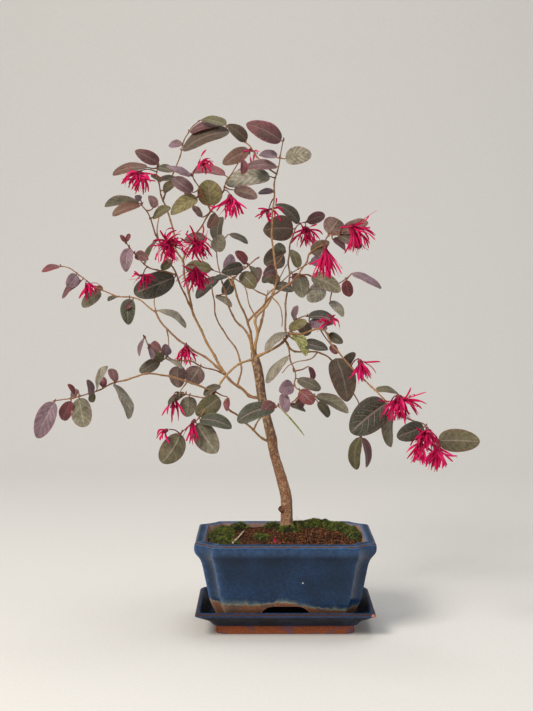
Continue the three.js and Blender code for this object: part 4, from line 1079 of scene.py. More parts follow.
# %% Limbs
# What each is on, its radii, the depth of its end and its drawn route; a branch is a second arm.
LIMBS = {
    "limb_left": dict(on="trunk", radii=(1.8, 1.5), reach=22, route=[
        (-21.8, 193.9), (-30.3, 195.6), (-37, 201.2), (-43.9, 205.7), (-53.3, 215.7)],
        branch=dict(radii=(1.1, 0.8), reach=74, route=[
            (-42, 204.5), (-38.5, 218), (-40.8, 232.1), (-52.1, 250.3), (-57.8, 258.8),
            (-61.5, 269), (-62.9, 282.6), (-65, 294)])),
    "limb_arch": dict(on="trunk", radii=(1.35, 0.95), reach=-62, route=[
        (-26.3, 229.5), (-38.5, 224.8), (-47.6, 218.8), (-55.6, 209), (-60.5, 202.5), (-66, 201.2),
        (-75.8, 204.6), (-86.6, 208.6), (-102.5, 213.1), (-117.2, 215.4), (-128.6, 214.3),
        (-137.5, 211.2)]),
    "limb_upper_left": dict(on="limb_left", radii=(1.4, 1.1), reach=62, route=[
        (-53.3, 215.7), (-66.3, 227), (-84.9, 238.9), (-96.3, 247.5), (-109.3, 260.5),
        (-114.4, 270.2)]),
    "stem_left_tall": dict(on="limb_left", radii=(1.6, 1), reach=48, route=[
        (-53.3, 215.7), (-60.1, 227), (-67.5, 240.6), (-76.5, 258.8), (-82.4, 273), (-85.6, 290),
        (-88.3, 298), (-90.6, 315.5), (-96.3, 325.2), (-98.5, 339.4), (-100.8, 350.7), (-108, 369)]),
    "stem_left_parallel": dict(on="stem_left_tall", radii=(1.1, 0.9), reach=-8, route=[
        (-82.4, 273), (-87.7, 283.8), (-91, 290), (-95.7, 303), (-101.4, 313.2), (-112.1, 334.5)]),
    "stem_left_branch": dict(on="stem_left_tall", radii=(1.1, 0.9), reach=5, route=[
        (-90.6, 315.5), (-87.2, 323.5), (-83.7, 331.4), (-76.4, 342.8), (-65.5, 360)]),
    "stem_centre_left": dict(on="trunk", radii=(1.5, 1.1), reach=66, route=[
        (-27.5, 232.5), (-31.7, 248), (-36.2, 255.9), (-43.6, 262.8), (-48.8, 273.5),
        (-50.5, 279.8)]),
    "stem_centre_fork": dict(on="trunk", radii=(1.5, 1), reach=-34, route=[
        (-27, 231.5), (-30, 250.3), (-32.8, 262.1), (-40.2, 278.6), (-43.6, 290), (-46.5, 298)]),
    "stem_centre_tall": dict(on="trunk", radii=(1.7, 1), reach=24, route=[
        (-26.3, 231.3), (-25.4, 243.5), (-24.3, 250.3), (-25.4, 265.1), (-19.2, 272.4),
        (-11.3, 283.8), (-7.1, 301), (-9.5, 320.6), (-11.2, 340.5), (-10.1, 363.2), (-9, 372.5)]),
    "stem_right_upper": dict(on="stem_centre_fork", radii=(1.2, 0.9), reach=-58, route=[
        (-32.8, 262.1), (-24.3, 270.2), (-10.7, 284.9), (4.9, 296.2), (12, 303.6), (20, 314.9)]),
    "limb_right": dict(on="trunk", radii=(1.7, 1.4), reach=0, route=[
        (-25.4, 230.4), (-16.1, 234.4), (-5.3, 240.6), (4.9, 250.8)],
        branch=dict(radii=(1.2, 0.9), reach=62, route=[
            (2, 247.5), (0.9, 258), (0.9, 270.2), (1.8, 284.3), (4.6, 300.7), (3.6, 314),
            (5.3, 332)])),
    "limb_right_long": dict(on="limb_right", radii=(1.15, 0.85), reach=-52, route=[
        (4.9, 250.8), (14.5, 250.8), (23.6, 253.7), (32.9, 255.6), (42.5, 241.3), (57.3, 223.8),
        (76.6, 204.5)]),
    "limb_right_lower": dict(on="limb_right", radii=(1.2, 1), reach=52, route=[
        (0, 246), (6, 237), (19.1, 234.8), (29.3, 234.8), (37.2, 231.5), (42.4, 226.5)]),
    "limb_low_left": dict(on="trunk", radii=(1.4, 1), reach=-20, route=[
        (-12, 154), (-21.2, 159.2), (-33.1, 170.6), (-42.7, 179.1), (-49.6, 184.2), (-52.1, 192.1)]),
    "limb_back": dict(on="trunk", radii=(1.6, 1.1), reach=104, route=[
        (-27, 233), (-24, 250), (-19, 268), (-16, 285)]),
}
# Side twigs: the limb that carries each, how far back its end reaches, and its route.
SIDE_TWIGS = [
    ("stem_left_parallel", 6, [(-112.1, 334.5), (-113.3, 344.5), (-112.1, 355.2), (-112.8, 368.3)]),
    ("stem_centre_tall", -14, [(-25.4, 265.1), (-31.7, 278.6), (-34.5, 290), (-38.7, 302.5)]),
    ("stem_centre_tall", 22, [(-25.4, 243.5), (-21.4, 255.9), (-19.2, 265), (-16.5, 281),
                              (-14.7, 290)]),
    ("stem_centre_tall", -26, [(-11.3, 283.8), (-3.6, 274.1), (-2, 267.3), (-2.5, 257.1)]),
    ("stem_centre_tall", 30, [(-8.5, 290), (-5.5, 297.4), (-1, 307.5), (3.6, 313.9)]),
    ("stem_centre_fork", 12, [(-46.5, 294), (-49.8, 301.3), (-51.2, 309.6)]),
    ("limb_right_lower", 16, [(29.3, 234.8), (23.6, 228.7), (10, 225.9), (5.4, 224.1),
                              (-2, 216.2)]),
    ("limb_upper_left", 10, [(-114.4, 270.2), (-115.6, 278), (-115.6, 284.3)]),
    ("limb_upper_left", -12, [(-104.7, 253.7), (-103.1, 242.9), (-102.5, 234.9)]),
    ("limb_arch", 14, [(-86.6, 208.6), (-92, 201), (-94, 192)]),
]
SIDE_TWIG_RADII = (0.75, 0.5)
# How young each is at its foot and at its end.
LIMB_YOUTH = (0, 0.35)
BRANCH_YOUTH = (0.1, 0.45)
SIDE_TWIG_YOUTH = (0.3, 0.8)
DEAD_YOUTH = (-0.3, -0.2)
# The fallen twig's places on the soil, and how high its middle lies above it.
FALLEN_TWIG = [(-44.5, -36), (-41, -24), (-38.5, -12), (-36, 0)]
FALLEN_TWIG_HEIGHT = 1.5
FALLEN_TWIG_RADII = (1.2, 0.8)
BLEACHED_WOOD = colour("#d8cdb8")


def lines_on(spec, carrier):
    """The main line of a limb or shoot and, if it has a branch, that line too."""
    route = spec["route"]
    lines = [line_of(route, spec["reach"], nearest(lines_of[carrier], route[0])[1])]
    if "branch" in spec:
        arm = spec["branch"]["route"]
        lines.append(line_of(arm, spec["branch"]["reach"], nearest(lines, arm[0])[1]))
    return lines


def points_of(line):
    """The points in space of a line's rows."""
    return [tuple(point) for _, _, point in line]


for name, spec in LIMBS.items():
    draw = random.Random(name)
    lines_of[name] = lines_on(spec, spec["on"])
    limb = Piece(name + "_wood")
    grow_stem(limb, points_of(lines_of[name][0]), *spec["radii"], draw, LIMB_YOUTH)
    if "branch" in spec:
        grow_stem(limb, points_of(lines_of[name][1]), *spec["branch"]["radii"], draw, BRANCH_YOUTH)
    for carrier, back, route in SIDE_TWIGS:
        if carrier == name:
            depth = nearest(lines_of[name], route[0])[1]
            twig = line_of(route, depth + back, depth)
            grow_stem(limb, points_of(twig), *SIDE_TWIG_RADII, draw, SIDE_TWIG_YOUTH)
    total += settle(limb.build([TWIG_BARK]), "twig_bark", name)

draw = random.Random("fallen")
fallen = Piece("fallen_twig_wood")
lying = [(x, y, soil_height(x, y) + FALLEN_TWIG_HEIGHT) for x, y in FALLEN_TWIG]
grow_stem(fallen, lying, *FALLEN_TWIG_RADII, draw, DEAD_YOUTH, collar=0, base=BLEACHED_WOOD)
total += settle(fallen.build([TWIG_BARK]), "twig_bark", "fallen_twig")


# %% [markdown]
# A leaf is an oval blade, pointed at the tip and a little lopsided at the foot. Its upper side is
# smooth, and maroon, bronze or dark green; its underside is silvery with tiny star-shaped hairs, so
# the two sides get a finish each. The blade folds at the midrib, arches from foot to tip, and bulges
# between six pairs of veins. That quilting is in the mesh, and the finish adds painted shade beside
# the veins and painted light on the pillows between them; the fine net of veins between them is in
# the finish. Light that passes through a thin leaf makes it glow a little.

# %% Leaf finishes
VEIN_PAIRS = 6
VEIN_SLANT = 0.32


def living_leaf(name, rib_hex, rib_strength, roughness, sheen, glow, specular, raised):
    """One side of a leaf: tint of each point, midrib, side veins, a fine net and mottling."""
    material, node = start_material(name)
    tint = node("Attribute", attribute_name="tint", out="Color")
    mark = node("SeparateXYZ", {0: node("Attribute", attribute_name="mark", out="Vector")}).node
    where = node("TexCoord", out="Object")
    away = node("Math", {0: mark.outputs["X"]}, operation="ABSOLUTE")

    # Mottling in blobs of 4 mm, as the colour is uneven in a real leaf.
    mottle = node("TexNoise", {"Vector": where, "Scale": repeats(4), "Detail": 4}, "Fac")
    shade = node("ValToRGB", {0: mottle}, stops=[(0.33, "#b9b4b2"), (0.5, "#e8e4e2"),
                                                 (0.68, "#ffffff")])
    skin = node("Mix", {0: 1, 6: tint, 7: shade}, 2, **TINTING)

    # Side veins leave the midrib at a slant and are thinner towards the margin. The blade is painted
    # darker beside them and lighter on the pillows between: painted shade and painted light on the
    # quilting. Real veins are 0.3 mm wide; at that width the picture would lose them, so they are drawn
    # 0.7 mm wide.
    slanted = node("Math", {0: away, 1: -VEIN_SLANT, 2: mark.outputs["Y"]},
                   operation="MULTIPLY_ADD")
    slanted = node("Math", {0: slanted, 1: VEIN_PAIRS}, operation="MULTIPLY")
    to_vein = node("Math", {0: slanted, 1: 0.5}, operation="PINGPONG")
    painted_quilt_shading = node("MapRange", {0: to_vein, 1: 0.06, 2: 0.4, 3: 0.66, 4: 1.12})
    skin = node("Mix", {0: 1, 6: skin, 7: painted_quilt_shading}, 2, **TINTING)
    vein = node("MapRange", {0: to_vein, 1: 0.11, 2: 0.02})
    fading = node("MapRange", {0: away, 1: 0.97, 2: 0.3, 3: 0.15, 4: 0.85})
    vein = node("Math", {0: vein, 1: fading}, operation="MULTIPLY")
    midrib = node("MapRange", {0: away, 1: 0.09, 2: 0.04})
    ribs = node("Math", {0: midrib, 1: vein}, operation="MAXIMUM")

    # The net of small veins has cells of 1.2 mm, and is paler than the blade too.
    net = node("TexVoronoi", {"Vector": where, "Scale": repeats(1.2)}, "Distance",
               feature="DISTANCE_TO_EDGE")
    net = node("MapRange", {0: net, 1: 0.14, 2: 0.02, 3: 0, 4: 0.4})
    ribs = node("Math", {0: ribs, 1: net}, operation="MAXIMUM")
    rib_colour = node("Math", {0: ribs, 1: rib_strength}, operation="MULTIPLY")
    skin = node("Mix", {0: rib_colour, 6: skin, 7: colour(rib_hex)}, 2, **COVERING)
    bump = node("Bump", {"Height": ribs, "Strength": 0.8, "Distance": 0.35 * MM}, invert=not raised)
    dull = node("MapRange", {0: mottle, 1: 0.3, 2: 0.7, 3: roughness - 0.07, 4: roughness + 0.07})
    shader = node("BsdfPrincipled", {
        "Base Color": skin, "Roughness": dull, "Normal": bump, "IOR": 1.45,
        "Specular IOR Level": specular, "Sheen Weight": sheen, "Sheen Roughness": 0.5})
    through = node("BsdfTranslucent", {"Color": skin, "Normal": bump})
    node("OutputMaterial", {"Surface": node("MixShader", {0: glow, 1: shader, 2: through})})
    return material


LEAF_FACE = living_leaf("smooth leaf face", "#a48c82", 0.55, 0.4, 0.1, 0.12, 0.45, raised=False)
LEAF_BACK = living_leaf("hairy leaf back", "#b8a898", 0.5, 0.78, 0.2, 0.12, 0.2, raised=True)


# %% [markdown]
# A leaf is set by five things read from the picture: where its foot and its tip are, how wide it
# looks, which side faces the viewer, and a tone. Its true width is never under half its length, so a
# leaf that looks narrow is one that is turned away; only a blade under 3 mm is a narrow one. The tone
# gives the colours of both sides and of the margin, and each leaf then varies a little from it.

# %% Leaf blades
# Face, back and margin of each tone, and the colour that shows through its face in patches.
TONES = {
    "m": ("#7a4147", "#86756a", "#a4525f", "#543f39"),
    "v": ("#95788a", "#9c8a94", "#b87888", "#745d5e"),
    "b": ("#695641", "#80735f", "#865e50", "#5c5942"),
    "n": ("#7a4c38", "#82725c", "#98604c", "#665337"),
    "r": ("#92303e", "#9a5c64", "#a84250", "#712c32"),
    "o": ("#686835", "#797355", "#89654c", "#5f5a36"),
    "l": ("#918b4e", "#89875e", "#9f735f", "#6e733d"),
    "d": ("#2a3321", "#6f725f", "#5a483b", "#4c503e"),
    "g": ("#53543b", "#7e806a", "#7d5851", "#5f5148"),
    "s": ("#4f5337", "#8d8b72", "#9f777b", "#555c43"),
    "p": ("#6b404a", "#947971", "#ae6a7a", "#51443e"),
    "w": ("#adab94", "#b4b4a2", "#b08c8c", "#676c5a"),
    "y": ("#ccd07c", "#c4cc80", "#b0bc64", "#a4ae58"),
    "e": ("#3b492d", "#798268", "#707d5c", "#35422b"),
}
TONE_SPREAD = (0.84, 1.14)
PATCH_SIZES = (9, 12)
PATCH_MOST = 0.7
PATCH_ON_BACK = 0.35
MARGIN_START = 0.9
MARGIN_STRENGTH = 0.7
LEAF_BREADTH = 0.52
NARROW_BLADE = 3
LEAF_HALF_THICKNESS = 0.2
EDGE_THINNESS = 0.35
LEAF_ARCH = 0.07
# How much blades fold at the midrib, curl at their margins, bend, droop, twist and wave.
FOLD = (0.1, 0.3)
CURL = (-0.22, 0.12)
BEND = (-0.05, 0.05)
DROOP = (0.02, 0.1)
TWIST = (-0.3, 0.3)
TWIST_FROM = 0.4
WAVE = (0.2, 0.7)
WAVE_TURNS = 9
# Blades shorter than these are waved and quilted less, in proportion.
FULL_WAVE_LENGTH = 30
FULL_QUILT_LENGTH = 32
MIDRIB_GROOVE = 0.3
MIDRIB_WIDTH = 0.08
ACROSS = (-1, -0.93, -0.76, -0.54, -0.3, -0.09, 0, 0.09, 0.3, 0.54, 0.76, 0.93, 1)
ALONG_STEPS = 36
FOOT_FULLNESS = 0.44
TIP_FULLNESS = (0.46, 0.64)
QUILTING = 0.62
PETIOLE_RADII = (0.62, 0.45)
LONG_PETIOLE = (8, 0.75)


def half_outline(t, foot, tip):
    """Share of the half width at a share of the length; a low power gives a full, round end.

    It never falls to nothing, so that the blade stays one closed skin."""
    fullest = foot / (foot + tip)
    width = t ** foot * (1 - t) ** tip / (fullest ** foot * (1 - fullest) ** tip)
    return max(0.03, width)


def along_share(row):
    """Share of the length at a row of points; the rows lie closer together at the round ends."""
    even = row / ALONG_STEPS
    return 0.5 * (even + 0.5 - 0.5 * math.cos(math.pi * even))


def add_leaf(piece, start, end, seen, tone, draw):
    """One blade with the two finishes 1 (face) and 2 (back)."""
    along = end - start
    length = along.length
    along.normalize()
    to_eye = EYE - start
    to_eye = (to_eye - along * to_eye.dot(along)).normalized()
    sideways = along.cross(to_eye)
    width = abs(seen) if abs(seen) < NARROW_BLADE else max(LEAF_BREADTH * length, abs(seen))
    facing = math.copysign(abs(seen) / width, seen)
    turn = math.sqrt(1 - facing * facing)
    turn = turn if sideways.z >= 0 else -turn
    normal = (to_eye * facing + sideways * turn).normalized()
    across = normal.cross(along)

    fold = draw.uniform(*FOLD)
    curl = draw.uniform(*CURL)
    bend = draw.uniform(*BEND) * length
    droop = draw.uniform(*DROOP) * length
    twist = draw.uniform(*TWIST)
    wave = draw.uniform(*WAVE) * min(1, length / FULL_WAVE_LENGTH)
    wave_at = draw.uniform(0, FULL_TURN)
    foot_powers = FOOT_FULLNESS * draw.uniform(0.85, 1), FOOT_FULLNESS * draw.uniform(1.05, 1.25)
    tip_power = draw.uniform(*TIP_FULLNESS)
    quilting = QUILTING * min(1, length / FULL_QUILT_LENGTH)
    lightness = draw.uniform(*TONE_SPREAD)
    face, back, margin, patch = (tuple(min(1, c * lightness) for c in colour(value)[:3]) + (1,)
                                 for value in TONES[tone])
    seed = draw.uniform(0, 100)

    points, marks, tints = [], [], []
    for side in (1, -1):
        for row in range(ALONG_STEPS + 1):
            t = along_share(row)
            arc = math.sin(math.pi * t)
            angle = twist * (t - TWIST_FROM)
            for x in ACROSS:
                half = width / 2 * half_outline(t, foot_powers[x > 0], tip_power)
                off = x * half
                rise = fold * abs(off) + curl * off * x
                ripple = math.sin(wave_at + WAVE_TURNS * t + x)
                rise += wave * ripple * abs(x) ** 3 * arc
                vein = math.cos(FULL_TURN * VEIN_PAIRS * (t - VEIN_SLANT * abs(x)))
                rise -= quilting * vein * math.sin(math.pi * abs(x)) * arc
                rise -= MIDRIB_GROOVE * math.exp(-(x / MIDRIB_WIDTH) ** 2) * (1 - t)
                turned_off = off * math.cos(angle) - rise * math.sin(angle)
                rise = off * math.sin(angle) + rise * math.cos(angle)
                thick = LEAF_HALF_THICKNESS * (EDGE_THINNESS + (1 - EDGE_THINNESS) * (1 - x * x))
                arch = LEAF_ARCH * length * arc + droop * (t - t ** 3)
                points.append(start + along * (t * length) + across * (turned_off + bend * arc)
                              + normal * (rise + arch + side * thick))
                marks.append((x, t, 0.0))
                at = Vector((off / PATCH_SIZES[0], t * length / PATCH_SIZES[1], seed))
                patchy = min(PATCH_MOST, max(0, noise.noise(at) * 1.3))
                if side > 0:
                    shade = mixed(face, patch, patchy)
                else:
                    shade = mixed(back, face, patchy * PATCH_ON_BACK)
                at_margin = abs(x) > MARGIN_START or row in (0, ALONG_STEPS)
                tints.append(mixed(shade, margin, MARGIN_STRENGTH if at_margin else 0))
    wide = len(ACROSS)
    sheet = wide * (ALONG_STEPS + 1)
    front, behind = [], []
    for row in range(ALONG_STEPS):
        for k in range(wide - 1):
            a = row * wide + k
            front.append((a, a + 1, a + 1 + wide, a + wide))
            behind.append((a + sheet + wide, a + 1 + wide + sheet, a + 1 + sheet, a + sheet))
    edge = ([k for k in range(wide)] + [row * wide + wide - 1 for row in range(1, ALONG_STEPS + 1)]
            + [ALONG_STEPS * wide + k for k in range(wide - 2, -1, -1)]
            + [row * wide for row in range(ALONG_STEPS - 1, 0, -1)])
    hem = [(b, a, a + sheet, b + sheet) for a, b in zip(edge, edge[1:] + edge[:1])]
    finishes = [1] * len(front) + [2] * (len(behind) + len(hem))
    piece.add(points, front + behind + hem, finishes, tints, marks)


SMALL_STEM_SIDES = 8
PETIOLE_STEP = 0.9
# How far a leaf stalk reaches into the blade, and how much it sags on its way there.
PETIOLE_INSIDE = 1.2
PETIOLE_SAG = 0.08
# A bud's width at shares of its length, and its half width to its length.
BUD_WIDTHS = [(0, 0.5), (0.15, 0.85), (0.35, 1), (0.6, 0.8), (0.82, 0.45), (1, 0.08)]
BUD_SLIMNESS = 0.24


def add_petiole(piece, foot, start, along, draw):
    """Short stalk from the stem, bending into the line of the blade."""
    inside = start + along * PETIOLE_INSIDE
    sag = UP * PETIOLE_SAG * (start - foot).length
    middle = foot.lerp(start, 0.55) - sag - along * PETIOLE_INSIDE / 2
    line = smooth_line([foot, middle, start, inside], PETIOLE_STEP)
    thick = PETIOLE_RADII[0] if (start - foot).length < LONG_PETIOLE[0] else LONG_PETIOLE[1]
    radii = np.linspace(thick, PETIOLE_RADII[1], len(line))
    radii = radii * (1 + 0.5 * np.exp(-np.arange(len(line)) / 1.2))
    points, faces, marks = tube(*round_ends(line, radii), SMALL_STEM_SIDES)
    tint = mixed(TWIG_OLD[0], TWIG_YOUNG, draw.uniform(0.6, 1))
    piece.add(points, faces, 0, tint, marks)


def add_bud(piece, foot, direction, length, tint):
    """Closed spindle, the bud at the end of a shoot or beside a leaf stalk."""
    direction = direction.normalized()
    line = [foot + direction * length * share for share, _ in BUD_WIDTHS]
    radii = [width * length * BUD_SLIMNESS for _, width in BUD_WIDTHS]
    points, faces, marks = tube(line, radii, SMALL_STEM_SIDES)
    piece.add(points, faces, 0, tint, marks)
